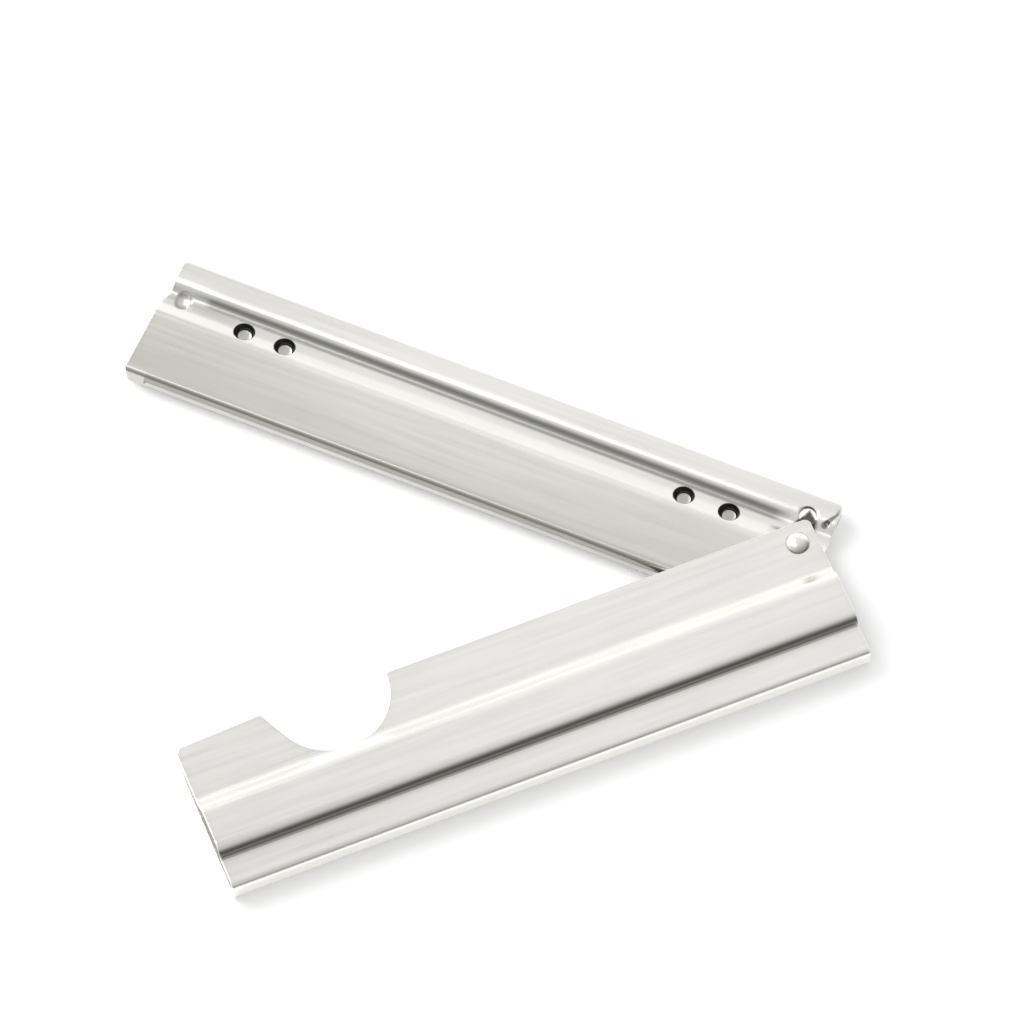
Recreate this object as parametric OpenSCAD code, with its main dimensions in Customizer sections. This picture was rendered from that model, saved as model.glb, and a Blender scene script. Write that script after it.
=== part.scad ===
// Folding glass scraper: two folded sheet arms on one rivet, opened a little.
// Frame: X runs along the handle with the rivet near +X, +Y is the handle's open edge, Z is up.
// The origin is the middle of the handle's flat underside.

/* [Handle cover] */
// Length of the handle
handle_length = 110; // [100:1:125]
// Sheet thickness of the handle
handle_sheet = 0.8; // [0.6:0.05:1]
// Flat strip beside the open edge, where the rivet sits
mouth_flat = 9.9; // [9:0.1:11]
// Width of the slope that climbs to the raised band
ramp_run = 2.2; // [2:0.1:2.8]
// Width of the raised band
band_flat = 7.9; // [7:0.1:9]
// Height of the raised band above the mouth strip
band_rise = 1.8; // [1.8:0.1:2.6]
// Width of the steep step down to the spine
step_run = 0.3; // [0.2:0.1:0.6]
// Width of the rounded spine
spine_width = 5.5; // [4.8:0.1:6]
// Height of the spine over the underside
spine_height = 4.4; // [4.2:0.1:4.6]
// Middle-line radius of the two bends that make the spine
spine_bend = 0.7; // [0.5:0.1:1.5]
// Middle-line radius of the bend at the foot of the step
step_foot_bend = 0.6; // [0.55:0.05:0.7]
// Middle-line radius of the bend at the top of the step
step_top_bend = 1.4; // [1:0.1:1.4]
// Middle-line radius of the bends at the slope
ramp_bend = 2; // [1:0.1:2.5]
// Radius of the corners beside the open edge
handle_corner = 1.1; // [0.6:0.1:1.6]

/* [Finger notch] */
// Radius of the finger notch
notch_radius = 9.9; // [8:0.1:11]
// Distance of the notch's centre from the free end
notch_from_end = 26.3; // [24:0.1:34]
// Length of the straight lead-in before the round of the notch
notch_lead = 1.5; // [1:0.1:3]
// How far the tab beside the notch stands out at the notch
tab_rise = 0.6; // [0.2:0.1:1]

/* [Blade holder] */
// Distance from the rivet to the blade's near end
blade_from_pivot = 10.25; // [6:0.05:14]
// Distance from the rivet to the holder's near end
holder_tail = 4.3; // [3.8:0.1:4.8]
// Distance from the rivet to the holder's back
holder_back = 10.25; // [9.6:0.05:11]
// Total thickness of the holder
holder_thickness = 2.8; // [2.6:0.1:3.4]
// Sheet thickness of the holder
holder_sheet = 0.6; // [0.5:0.05:0.65]
// Width of the hollow bead along the back
bead_width = 4.6; // [4.2:0.1:4.9]
// Width of the wall between the bead and the groove
bead_wall = 1.2; // [0.8:0.1:1.4]
// Width of the groove's floor
groove_floor = 2.2; // [2:0.1:2.6]
// How far the groove's floor climbs toward the slope
groove_rise = 0.5; // [0.2:0.1:0.7]
// Width of the slope from the groove up to the flange
groove_ramp = 2.3; // [2:0.1:3]
// Width of the flange that covers the blade
flange_width = 11.7; // [11.3:0.1:12]
// Crevice left between the two leaves under the groove
leaf_crevice = 0.1; // [0.05:0.01:0.2]
// Angle of the lip that grips the blade, below level
lip_angle = 68; // [60:1:72]
// Middle-line radius of the holder's tight bends
holder_bend = 0.8; // [0.4:0.05:0.9]
// Middle-line radius of the bend between the flange and the lip
lip_bend = 0.8; // [0.6:0.1:1.2]
// Middle-line radius of the round between the bead's wall and the groove
wall_round = 2.2; // [1:0.1:2.3]
// Middle-line radius of the round between the groove and its slope
slope_round = 3; // [1:0.1:3.4]
// Middle-line radius of the bend at the top of the slope
slope_top_bend = 1.2; // [0.8:0.1:1.6]
// Length of the corner lip that closes the free end
end_lip_length = 3.4; // [2:0.1:4]
// How far the lower leaf stays back from the cutting edge
lower_leaf_setback = 1.5; // [1.2:0.1:2]
// How far the flange's end leans back toward the groove
flange_end_slant = 0.6; // [0:0.1:0.8]
// How far the bead's end stays back from the flange's corner
bead_end_setback = 1.3; // [0.9:0.1:1.8]
// Radius of the flange's free corner
flange_corner = 1.6; // [1:0.1:2]
// Radius of the bead's free corner
bead_corner = 1.8; // [1:0.1:2.2]

/* [Pressed pits and pockets] */
// Mouth radius of a clinch pit
pit_radius = 1.8; // [1.5:0.05:1.9]
// Floor radius of a clinch pit
pit_floor_radius = 1.15; // [0.8:0.05:1.3]
// Wall left round a clinch pit
pit_wall = 0.35; // [0.25:0.05:0.5]
// Metal left under a clinch pit
pit_web = 0.3; // [0.2:0.05:0.5]
// How far the clinch pits lie beyond the groove's floor
pit_offset = 0.4; // [0:0.1:0.8]
// Distance of the outer pit of the first pair from the free end
first_pair_from_end = 15.4; // [12:0.1:18]
// Spacing of the first pair
first_pair_pitch = 7.2; // [6:0.1:9]
// Distance of the nearer pit of the second pair from the rivet
second_pair_from_pivot = 12.7; // [10:0.1:18]
// Spacing of the second pair
second_pair_pitch = 7.9; // [6:0.1:8.4]
// Radius of the scooped pocket near the groove's free end
end_pocket_radius = 1.7; // [1.4:0.1:2]
// Distance of that pocket's centre from the free end
end_pocket_from_end = 3.8; // [3.2:0.1:5]
// Depth of that pocket below the groove
end_pocket_depth = 0.5; // [0.2:0.1:0.7]
// Radius of the scooped relief in the bead beside the rivet
bead_relief_radius = 1.6; // [1.3:0.1:1.8]
// How far the relief lies from the rivet, toward the free end
bead_relief_offset = 0.5; // [0.2:0.1:2]
// Distance of the relief's centre from the holder's back
bead_relief_from_back = 4.4; // [4:0.1:4.8]
// Radius of the small scoop at the bead's near end
near_relief_radius = 0.7; // [0.6:0.1:1]
// Distance of that scoop's centre from the near end
near_relief_from_end = 0.8; // [0.5:0.1:1.2]
// Distance of that scoop's centre from the holder's back
near_relief_from_back = 4; // [3.6:0.1:4.6]
// Wall left round a pocket
pocket_wall = 0.5; // [0.4:0.05:0.6]

/* [Blade] */
// Length of the blade
blade_length = 100; // [90:0.5:101]
// Width of the blade from its back to its edge
blade_width = 12.7; // [12:0.1:12.9]
// Thickness of the blade
blade_thickness = 0.5; // [0.3:0.05:0.7]
// Width of the ground bevel
blade_bevel = 1; // [0.6:0.1:1.5]
// Thickness left at the cutting edge
edge_land = 0.06; // [0.04:0.01:0.1]
// Clearance behind the blade, at its ends and under the lip
blade_clearance = 0.05; // [0.02:0.01:0.1]

/* [Rivet and washers] */
// Distance of the rivet from the handle's end
pivot_from_end = 3.4; // [3.4:0.1:6]
// Distance of the rivet from the handle's open edge
pivot_from_edge = 3.6; // [3.4:0.1:5]
// Diameter of the rivet's shank
shank_diameter = 2.5; // [2:0.1:3]
// Diameter of the domed head
head_diameter = 3.7; // [3.5:0.1:5]
// Height of the domed head
head_height = 0.9; // [0.6:0.1:1.2]
// Height of the straight rim under the dome
head_rim = 0.15; // [0.1:0.05:0.3]
// Diameter of the flush head in the underside
flush_head_diameter = 4; // [3.6:0.1:5]
// Depth of the flush head
flush_head_depth = 0.55; // [0.3:0.05:0.58]
// Diameter of the two washers
washer_diameter = 6.2; // [5:0.1:6.6]
// Thickness of each washer
washer_thickness = 0.15; // [0.1:0.05:0.3]
// Radial clearance of the holder and the washers on the shank
shank_clearance = 0.05; // [0.02:0.01:0.1]
// Gap between each washer and the holder
washer_gap = 0.05; // [0.02:0.01:0.1]
// Radius of the raised seat round the rivet on the holder
seat_radius = 3.3; // [3:0.1:3.4]

/* [Pose] */
// Angle between the arms as drawn, 0 when closed
opening_angle = 44.6; // [0:0.1:180]

/* [Hidden] */
$fn = 64;
bend_steps = 6;
overrun = 1;

// Handle sizes that follow
handle_width = mouth_flat + ramp_run + band_flat + step_run + spine_width;
mouth_gap = holder_thickness + 2 * (washer_thickness + washer_gap);
mouth_height = mouth_gap + 2 * handle_sheet;
band_height = mouth_height + band_rise;
handle_end = handle_length / 2;
open_edge = handle_width / 2;
spine_edge = -handle_width / 2;
notch_x = -handle_end + notch_from_end;
pivot = [handle_end - pivot_from_end, open_edge - pivot_from_edge];

// Holder levels, with the holder lying midway between the handle's leaves
holder_low = handle_sheet + washer_thickness + washer_gap;
holder_top = holder_low + holder_thickness;
lower_leaf_top = holder_low + holder_sheet;
groove_top = lower_leaf_top + leaf_crevice + holder_sheet;

// Distance from the rivet to the holder's free end, set by the blade inside
holder_reach = blade_from_pivot + blade_length + blade_clearance + end_lip_length;

// Holder stations, measured from its back
shoulder_at = bead_width;
wall_foot_at = shoulder_at + bead_wall;
floor_end_at = wall_foot_at + groove_floor;
ramp_top_at = floor_end_at + groove_ramp;
flange_end_at = ramp_top_at + flange_width;
pit_at = floor_end_at + pit_offset;
blade_back_at = pit_at + pit_radius + pit_wall + blade_clearance;
edge_at = blade_back_at + blade_width;
lower_leaf_end_at = edge_at - lower_leaf_setback;
blade_top = lower_leaf_top + blade_thickness;
blade_start = -blade_from_pivot - blade_length;

// Plan and profile geometry
function unit(v) = v / norm(v);
function left_of(d) = [-d[1], d[0]];
function turn_side(a, b) = a[0] * b[1] - a[1] * b[0] >= 0 ? 1 : -1;
function reversed(list) = [for (i = [len(list) - 1:-1:0]) list[i]];

// Points of the round at corner b between a and c, shifted sideways by shift
function bend_points(a, b, c, radius, shift) =
    let (before = unit(b - a))
    let (after = unit(c - b))
    let (side = turn_side(before, after))
    let (half_turn = acos(before * after) / 2)
    let (start = b - before * radius * tan(half_turn))
    let (centre = start + left_of(before) * side * radius)
    let (first = atan2(start[1] - centre[1], start[0] - centre[0]))
    [for (k = [0:bend_steps])
        let (angle = first + side * 2 * half_turn * k / bend_steps)
        centre + (radius - side * shift) * [cos(angle), sin(angle)]];

// One side of a folded sheet whose middle line runs along path
function sheet_side(path, radii, shift) =
    let (last = len(path) - 1)
    let (first_normal = left_of(unit(path[1] - path[0])))
    let (last_normal = left_of(unit(path[last] - path[last - 1])))
    concat(
        [path[0] + first_normal * shift],
        [for (i = [1:last - 1]) each bend_points(path[i - 1], path[i], path[i + 1], radii[i - 1], shift)],
        [path[last] + last_normal * shift]);

// Closed outline with its corners rounded, sharp where the radius is 0
function rounded_outline(corners, radii) =
    let (count = len(corners))
    [for (i = [0:count - 1])
        let (a = corners[(i + count - 1) % count])
        let (b = corners[i])
        let (c = corners[(i + 1) % count])
        each (radii[i] > 0 ? bend_points(a, b, c, radii[i], 0) : [b])];

// Section of a folded sheet of the given thickness
module sheet_section(path, radii, thickness) {
    polygon(concat(
        sheet_side(path, radii, thickness / 2),
        reversed(sheet_side(path, radii, -thickness / 2))));
}

// Turns a Y-Z section into a bar from x_from to x_to
module along_x(x_from, x_to) {
    translate([x_from, 0, 0])
        rotate([90, 0, 90])
            linear_extrude(x_to - x_from)
                children();
}

// Upright cylinder or cone between two heights
module upright(at, z_from, z_to, r_from, r_to) {
    translate([at[0], at[1], z_from])
        cylinder(h = z_to - z_from, r1 = r_from, r2 = r_to);
}

// Middle line of the handle's section, from the lower leaf round the spine to the upper leaf
handle_path = [
    [open_edge + tab_rise, handle_sheet / 2],
    [spine_edge + handle_sheet / 2, handle_sheet / 2],
    [spine_edge + handle_sheet / 2, spine_height - handle_sheet / 2],
    [spine_edge + spine_width, spine_height - handle_sheet / 2],
    [spine_edge + spine_width + step_run, band_height - handle_sheet / 2],
    [spine_edge + spine_width + step_run + band_flat, band_height - handle_sheet / 2],
    [open_edge - mouth_flat, mouth_height - handle_sheet / 2],
    [open_edge + tab_rise, mouth_height - handle_sheet / 2]];
handle_radii = [spine_bend, spine_bend, step_foot_bend, step_top_bend, ramp_bend, ramp_bend];

// Plan of the handle's blank before the notch is cut
handle_corners = [
    [-handle_end, spine_edge - overrun],
    [handle_end, spine_edge - overrun],
    [handle_end, open_edge],
    [notch_x, open_edge],
    [notch_x - notch_radius - notch_lead, open_edge + tab_rise],
    [-handle_end, open_edge]];
handle_corner_radii = [0, 0, handle_corner, 0, 0, handle_corner];

// Finger notch: a round with a straight lead-in that touches it
module notch_plan() {
    start = [notch_x - notch_radius - notch_lead, open_edge + tab_rise];
    spread = acos(notch_radius / (notch_radius + notch_lead));
    touch = [notch_x - notch_radius * cos(spread), open_edge - notch_radius * sin(spread)];
    translate([notch_x, open_edge])
        circle(notch_radius);
    polygon([start, touch, [notch_x, open_edge], [notch_x, open_edge + tab_rise]]);
}

// Handle cover: one sheet folded along the spine, open along +Y
module handle_cover() {
    color("gainsboro")
    difference() {
        intersection() {
            along_x(-handle_end, handle_end)
                sheet_section(handle_path, handle_radii, handle_sheet);
            translate([0, 0, -overrun])
                linear_extrude(band_height + 2 * overrun)
                    polygon(rounded_outline(handle_corners, handle_corner_radii));
        }
        translate([0, 0, -overrun])
            linear_extrude(band_height + 2 * overrun)
                notch_plan();
        upright(pivot, -overrun, band_height, shank_diameter / 2, shank_diameter / 2);
        upright(pivot, 0, flush_head_depth, flush_head_diameter / 2, shank_diameter / 2);
    }
}

// Rivet: flush head below, shank, and a domed head on the upper leaf
module pivot_rivet() {
    head_radius = head_diameter / 2;
    dome_height = head_height - head_rim;
    dome_radius = (head_radius * head_radius + dome_height * dome_height) / (2 * dome_height);
    color("silver")
    union() {
        upright(pivot, 0, flush_head_depth, flush_head_diameter / 2, shank_diameter / 2);
        upright(pivot, 0, mouth_height + head_rim / 2, shank_diameter / 2, shank_diameter / 2);
        upright(pivot, mouth_height, mouth_height + head_rim, head_radius, head_radius);
        intersection() {
            translate([pivot[0], pivot[1], mouth_height + head_height - dome_radius])
                sphere(dome_radius);
            upright(pivot, mouth_height + head_rim / 2, mouth_height + head_height, head_radius, head_radius);
        }
    }
}

// Flat washer standing on the given level
module washer(level) {
    bore = shank_diameter / 2 + shank_clearance;
    difference() {
        upright(pivot, level, level + washer_thickness, washer_diameter / 2, washer_diameter / 2);
        upright(pivot, level - overrun, level + overrun, bore, bore);
    }
}

// Washer under the handle's upper leaf
module upper_washer() {
    color("darkgray")
        washer(mouth_height - handle_sheet - washer_thickness);
}

// Washer on the handle's lower leaf
module lower_washer() {
    color("darkgray")
        washer(handle_sheet);
}

// Places the holder's own frame, with the rivet at its origin, free end at -X and back at +Y
module on_pivot() {
    translate([pivot[0], pivot[1], 0])
        rotate([0, 0, -opening_angle])
            children();
}

// Levels of the holder's middle line
mid_low = holder_low + holder_sheet / 2;
mid_top = holder_top - holder_sheet / 2;
mid_floor = groove_top - holder_sheet / 2;

// The lip stops on the blade along the edge, and wraps past it at the free corner
lip_half_height = holder_sheet / 2 * cos(lip_angle);
blade_lip_end = blade_top + blade_clearance + lip_half_height;
corner_lip_end = holder_low + leaf_crevice + lip_half_height;

// How far the lip's middle line runs forward on its way down to a height
function lip_run(lip_end) = (mid_top - lip_end) / tan(lip_angle);

// Middle line of the holder's section, from the lower leaf round the bead to the lip
function holder_path(lip_end) = [
    [holder_back - lower_leaf_end_at, mid_low],
    [holder_back - holder_sheet / 2, mid_low],
    [holder_back - holder_sheet / 2, mid_top],
    [holder_back - shoulder_at, mid_top],
    [holder_back - wall_foot_at, mid_floor],
    [holder_back - floor_end_at, mid_floor + groove_rise],
    [holder_back - ramp_top_at, mid_top],
    [holder_back - flange_end_at, mid_top],
    [holder_back - flange_end_at - lip_run(lip_end), lip_end]];
holder_radii = [holder_bend, holder_bend, holder_bend, wall_round, slope_round, slope_top_bend, lip_bend];

// Plan of the holder's blank
holder_front = holder_back - flange_end_at - lip_run(corner_lip_end) - holder_sheet / 2 * sin(lip_angle);
holder_corners = [
    [-holder_reach, holder_front],
    [holder_tail, holder_front],
    [holder_tail, holder_back],
    [-holder_reach + bead_end_setback, holder_back],
    [-holder_reach + bead_end_setback, holder_back - wall_foot_at],
    [-holder_reach + flange_end_slant, holder_back - floor_end_at]];
holder_corner_radii = [flange_corner, 0, bead_corner, bead_corner, 0, 0];

// Places of the four clinch pits along the holder, from the rivet
pit_places = [
    first_pair_from_end - holder_reach,
    first_pair_from_end + first_pair_pitch - holder_reach,
    -second_pair_from_pivot - second_pair_pitch,
    -second_pair_from_pivot];

// Centres of the scooped pockets, along and across the holder
end_pocket = [end_pocket_from_end - holder_reach, holder_back - (wall_foot_at + floor_end_at) / 2];
bead_relief = [-bead_relief_offset, holder_back - bead_relief_from_back];
near_relief = [holder_tail - near_relief_from_end, holder_back - near_relief_from_back];

// Folded sheet of the holder, with the longer lip at the free corner
module holder_fold() {
    along_x(-holder_reach + end_lip_length, holder_tail)
        sheet_section(holder_path(blade_lip_end), holder_radii, holder_sheet);
    along_x(-holder_reach, -holder_reach + end_lip_length)
        sheet_section(holder_path(corner_lip_end), holder_radii, holder_sheet);
}

// Space between the leaves, with the inner skins of both
module between_leaves() {
    along_x(-holder_reach, holder_tail)
        polygon(sheet_side(holder_path(blade_lip_end), holder_radii, holder_sheet / 2 - leaf_crevice / 2));
}

// Metal pressed down between the leaves round a pit or pocket
module pressed_metal(place, radius) {
    intersection() {
        upright(place, holder_low, holder_top, radius, radius);
        between_leaves();
    }
}

// Clinch pit: a cone pressed into both leaves, with a straight mouth
module clinch_pit(place) {
    upright(place, holder_low + pit_web, groove_top, pit_floor_radius, pit_radius);
    upright(place, groove_top - leaf_crevice, holder_top + overrun, pit_radius, pit_radius);
}

// Scoop with a round bottom at the given level, open upward
module scoop(place, level, radius) {
    translate([place[0], place[1], level + radius])
        sphere(radius);
}

// Blade holder: one sheet folded along its back, clinched behind the blade
module blade_holder() {
    bore = shank_diameter / 2 + shank_clearance;
    seat_hollow = seat_radius - holder_sheet;
    color("lightgray")
    on_pivot()
    difference() {
        intersection() {
            union() {
                holder_fold();
                for (place = pit_places)
                    pressed_metal([place, holder_back - pit_at], pit_radius + pit_wall);
                pressed_metal(bead_relief, bead_relief_radius + pocket_wall);
                pressed_metal(near_relief, near_relief_radius + pocket_wall);
                pressed_metal(end_pocket, end_pocket_radius + pocket_wall);
                upright([0, 0], lower_leaf_top + leaf_crevice, holder_top, seat_radius, seat_radius);
            }
            linear_extrude(holder_top + overrun)
                polygon(rounded_outline(holder_corners, holder_corner_radii));
        }
        for (place = pit_places)
            clinch_pit([place, holder_back - pit_at]);
        scoop(end_pocket, groove_top - end_pocket_depth, end_pocket_radius);
        scoop(bead_relief, groove_top, bead_relief_radius);
        scoop(near_relief, groove_top, near_relief_radius);
        upright([0, 0], lower_leaf_top, holder_top - holder_sheet, seat_hollow, seat_hollow);
        upright([0, 0], -overrun, holder_top + overrun, bore, bore);
    }
}

// Blade: a strip with a ground edge, lying on the lower leaf
module scraper_blade() {
    color("whitesmoke")
    on_pivot()
        along_x(blade_start, blade_start + blade_length)
            polygon([
                [holder_back - blade_back_at, lower_leaf_top],
                [holder_back - blade_back_at, blade_top],
                [holder_back - edge_at + blade_bevel, blade_top],
                [holder_back - edge_at, lower_leaf_top + edge_land],
                [holder_back - edge_at, lower_leaf_top]]);
}

handle_cover();
pivot_rivet();
upper_washer();
lower_washer();
blade_holder();
scraper_blade();
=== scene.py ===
"""Looks of the folding glass scraper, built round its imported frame.

Everything is worked out in the part's own frame: X runs along the handle with the rivet near
+X, +Y is the handle's open edge, Z is up, and the origin is the middle of the flat underside.
The blade arm has a frame of its own first: x along it from the rivet, b in from its folded
back, z up. Sizes are in millimetres, and become metres only when a mesh is made.
"""

from __future__ import annotations

import logging
import math
from dataclasses import dataclass, field, fields
from enum import Enum

import bpy
import numpy as np
from mathutils import Euler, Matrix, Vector

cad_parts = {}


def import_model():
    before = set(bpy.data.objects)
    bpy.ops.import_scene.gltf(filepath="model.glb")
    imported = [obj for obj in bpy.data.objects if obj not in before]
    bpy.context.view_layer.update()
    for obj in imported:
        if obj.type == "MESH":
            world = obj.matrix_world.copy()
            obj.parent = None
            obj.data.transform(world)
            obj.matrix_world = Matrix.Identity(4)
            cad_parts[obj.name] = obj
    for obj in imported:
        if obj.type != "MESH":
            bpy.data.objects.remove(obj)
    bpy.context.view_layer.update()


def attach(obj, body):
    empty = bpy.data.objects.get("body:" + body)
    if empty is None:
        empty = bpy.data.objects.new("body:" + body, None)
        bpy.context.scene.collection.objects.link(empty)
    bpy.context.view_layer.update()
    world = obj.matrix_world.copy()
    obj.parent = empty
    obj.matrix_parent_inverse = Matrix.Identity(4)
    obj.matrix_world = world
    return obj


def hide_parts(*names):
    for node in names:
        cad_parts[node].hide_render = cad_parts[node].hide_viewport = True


Array = np.ndarray
Node = bpy.types.Node
Socket = bpy.types.NodeSocket
Span = tuple[float, float]
Color = tuple[float, float, float]
MM = 0.001
LOG = logging.getLogger("scraper")
# Distance given to points with no edge near them, and slack that keeps a hole's edge inside it
FAR = 9.0
HOLE_SLACK = 1e-3


class Body(Enum):
    """Rigid bodies of the scraper."""

    HANDLE = "handle"
    ARM = "blade_arm"


class Attribute(Enum):
    """Values stored on the points of a mesh for its material."""

    RIM = "rim"
    # Painted shade in creases, hollows, under the rivet's head and on the lip, and a darkening toward
    # the left ends
    SOIL = "soil"
    DULL = "dull"


# Geometry helpers


def smooth_step(low: float | Array, high: float | Array, value: Array) -> Array:
    """Goes from 0 at low to 1 at high along 3t^2 - 2t^3.

    Args:
        low: value where the step starts.
        high: value where the step ends.
        value: values to step.

    Returns:
        The stepped values, from 0 to 1.
    """
    t = np.clip((value - low) / (high - low), 0.0, 1.0)
    return t * t * (3.0 - 2.0 * t)


def fade(low: float | Array, high: float | Array, value: Array) -> Array:
    """Goes from 1 at low to 0 at high, as 1 - smooth_step."""
    return 1.0 - smooth_step(low, high, value)


def between(rise: Span, fall: Span, value: Array) -> Array:
    """Goes from 0 to 1 over the rise and back over the fall: the product of both steps."""
    return smooth_step(*rise, value) * fade(*fall, value)


def ridge(middle: float, width: float, value: Array) -> Array:
    """Soft line of height 1 at the middle: exp(-((value - middle) / width)^2)."""
    return np.exp(-(((value - middle) / width) ** 2))


def round_off(radius: float, distance: Array) -> Array:
    """How far a rounded corner falls back at distances from its side.

    It is r - sqrt(r^2 - (r - d)^2), and nothing from d = r on.

    Args:
        radius: radius of the corner.
        distance: distances from the corner's side.

    Returns:
        From the radius down to 0.
    """
    inside = radius - np.clip(distance, 0.0, radius)
    return radius - np.sqrt(np.maximum(radius**2 - inside**2, 0.0))


def rim_height(half: float, radius: float, distance: Array) -> Array:
    """Half thickness of a sheet near its rounded cut edge: the half less the edge's round."""
    return half - round_off(radius, distance)


def rim_rings(radius: float, support: float = 0.1) -> Array:
    """Distances from a cut edge at which a quarter round of that radius is sampled.

    A point at angle a of the round lies radius * (1 - cos a) in from the edge.

    Args:
        radius: radius of the edge's rounding.
        support: extra distance of a last line that keeps the flat beside it flat.

    Returns:
        Distances from 0 up.
    """
    angle = np.radians([0.0, 22.5, 45.0, 67.5, 90.0])
    return np.append(radius * (1.0 - np.cos(angle)), radius + support)


def both_sides(centre: float, radii: Array) -> Array:
    """Grid lines on both sides of a centre, a pair for each ring radius."""
    return np.concatenate([centre - radii, centre + radii])


def merged_lines(main: Array, extra: Array, gap: float) -> Array:
    """Joins two sets of grid lines, leaving out extra lines that crowd a main line.

    Args:
        main: lines that stay.
        extra: lines that are added where there is room.
        gap: least distance of an extra line from any main line.

    Returns:
        All lines that stay, rising.
    """
    main = np.unique(np.round(main, 4))
    extra = np.unique(np.round(extra, 4))
    near = np.abs(extra[:, None] - main[None, :]).min(axis=1)
    return np.sort(np.concatenate([main, extra[near > gap]]))


def whole_cells(inside: Array) -> Array:
    """Grid cells whose four corners are all inside."""
    return inside[:-1, :-1] & inside[1:, :-1] & inside[1:, 1:] & inside[:-1, 1:]


def ring_quads(rings: Array) -> Array:
    """Quads between neighbouring rows of point numbers, each row closed on itself."""
    turned = np.roll(rings, -1, axis=1)
    return np.stack([rings[:-1], turned[:-1], turned[1:], rings[1:]], axis=-1).reshape(-1, 4)


@dataclass(frozen=True)
class FoldedLine:
    """Middle line of a folded sheet's section: straight runs joined by round bends."""

    corners: tuple[Span | Array, ...]
    radii: tuple[float, ...]
    step_degrees: float = 8.0
    support: float = 0.1

    def sample(self) -> tuple[Array, Array]:
        """Samples the line.

        A bend at corner b with radius R turns by t, starts R * tan(t / 2) before b, and its
        points are centre + R * (cos a, sin a). The normal points to the left of the line.

        Returns:
            Points and unit normals, one row each, in order along the line.
        """
        corners = np.array(self.corners, dtype=float)
        runs = np.diff(corners, axis=0)
        runs /= np.linalg.norm(runs, axis=1)[:, None]
        points: list[Array] = []
        normals: list[Array] = []
        start = corners[0]
        for corner, before, after, radius in zip(corners[1:], runs, runs[1:], self.radii):
            turn = math.acos(float(np.clip(before @ after, -1.0, 1.0)))
            side = 1.0 if before[0] * after[1] - before[1] * after[0] >= 0 else -1.0
            reach = radius * math.tan(turn / 2)
            first = corner - before * reach
            self._add_run(points, normals, start, first)
            centre = first + np.array([-before[1], before[0]]) * side * radius
            count = max(2, math.ceil(math.degrees(turn) / self.step_degrees))
            angle = math.atan2(first[1] - centre[1], first[0] - centre[0])
            angle = angle + side * turn * np.linspace(0.0, 1.0, count + 1)
            around = np.stack([np.cos(angle), np.sin(angle)], axis=1)
            points.append(centre + radius * around)
            normals.append(-side * around)
            start = corner + after * reach
        self._add_run(points, normals, start, corners[-1])
        return np.concatenate(points), np.concatenate(normals)

    def _add_run(self, points: list[Array], normals: list[Array], start: Array, end: Array) -> None:
        """Adds the inner points of a straight run, and its end where the line itself ends there.

        Args:
            points: list that takes the points.
            normals: list that takes the normals.
            start: where the run starts.
            end: where the run ends.
        """
        length = float(np.linalg.norm(end - start))
        along = (end - start) / length
        at = [] if points else [0.0]
        if length > 3 * self.support:
            at += [self.support, length - self.support]
        if np.allclose(end, self.corners[-1]):
            at.append(length)
        points.append(start + np.array(at)[:, None] * along)
        normals.append(np.tile([-along[1], along[0]], (len(at), 1)))

    def over(self, side: Array) -> tuple[Array, ...]:
        """Reads the line off over places across the sheet.

        Args:
            side: places across the sheet, where the line has one height each.

        Returns:
            Height, and the normal's parts across and up.
        """
        points, normals = self.sample()
        return tuple(np.interp(side, points[:, 0], row) for row in (points[:, 1], *normals.T))


@dataclass
class Surface:
    """Middle surface of a sheet: x, place across and height on a grid, with the section's normal."""

    x: Array
    side: Array
    z: Array
    normal_side: Array
    normal_z: Array

    @classmethod
    def spread(cls, *rows: float | Array) -> Surface:
        """Its five values from numbers, rows or columns, spread over one grid."""
        return cls(*np.broadcast_arrays(*rows))

    @classmethod
    def folded(cls, stations: Array, line: FoldedLine) -> Surface:
        """One line at every station, without its end points, which are its neighbours' own."""
        points, normals = line.sample()
        return cls.spread(stations[:, None], *points[1:-1].T, *normals[1:-1].T)

    @classmethod
    def joined(cls, parts: list[Surface]) -> Surface:
        """Parts side by side, in order round the section."""
        rows = ([getattr(part, value.name) for part in parts] for value in fields(cls))
        return cls(*(np.concatenate(row, axis=1) for row in rows))

    def skins(self, half: Array) -> tuple[Array, Array]:
        """Moves the middle surface by the half thickness along its normal, out and in.

        Args:
            half: half of the sheet's thickness at each point.

        Returns:
            Points of the outer and of the inner skin.
        """
        middle = np.stack([self.x, self.side, self.z], axis=-1)
        normal = np.stack([np.zeros(half.shape), self.normal_side, self.normal_z], axis=-1)
        return middle + normal * half[..., None], middle - normal * half[..., None]


@dataclass(frozen=True)
class RoundWarp:
    """Pulls the square grid lines round a centre into circles, so a round edge is crisp.

    A point at square distance m from the centre moves to distance m along its own ray, fully
    up to the kept radius and fading to nothing at the reach.
    """

    x: float
    y: float
    reach: float
    kept: float

    def apply(self, x: Array, y: Array) -> tuple[Array, Array]:
        """Moves grid points.

        Args:
            x: first coordinates.
            y: second coordinates.

        Returns:
            The moved coordinates.
        """
        p = (x - self.x) / self.reach
        q = (y - self.y) / self.reach
        square = np.maximum(np.abs(p), np.abs(q))
        distance = np.hypot(p, q)
        ratio = np.divide(square, distance, out=np.ones_like(square), where=distance > 1e-9)
        factor = 1.0 + fade(self.kept / self.reach, 1.0, square) * (ratio - 1.0)
        return self.x + (x - self.x) * factor, self.y + (y - self.y) * factor


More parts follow.
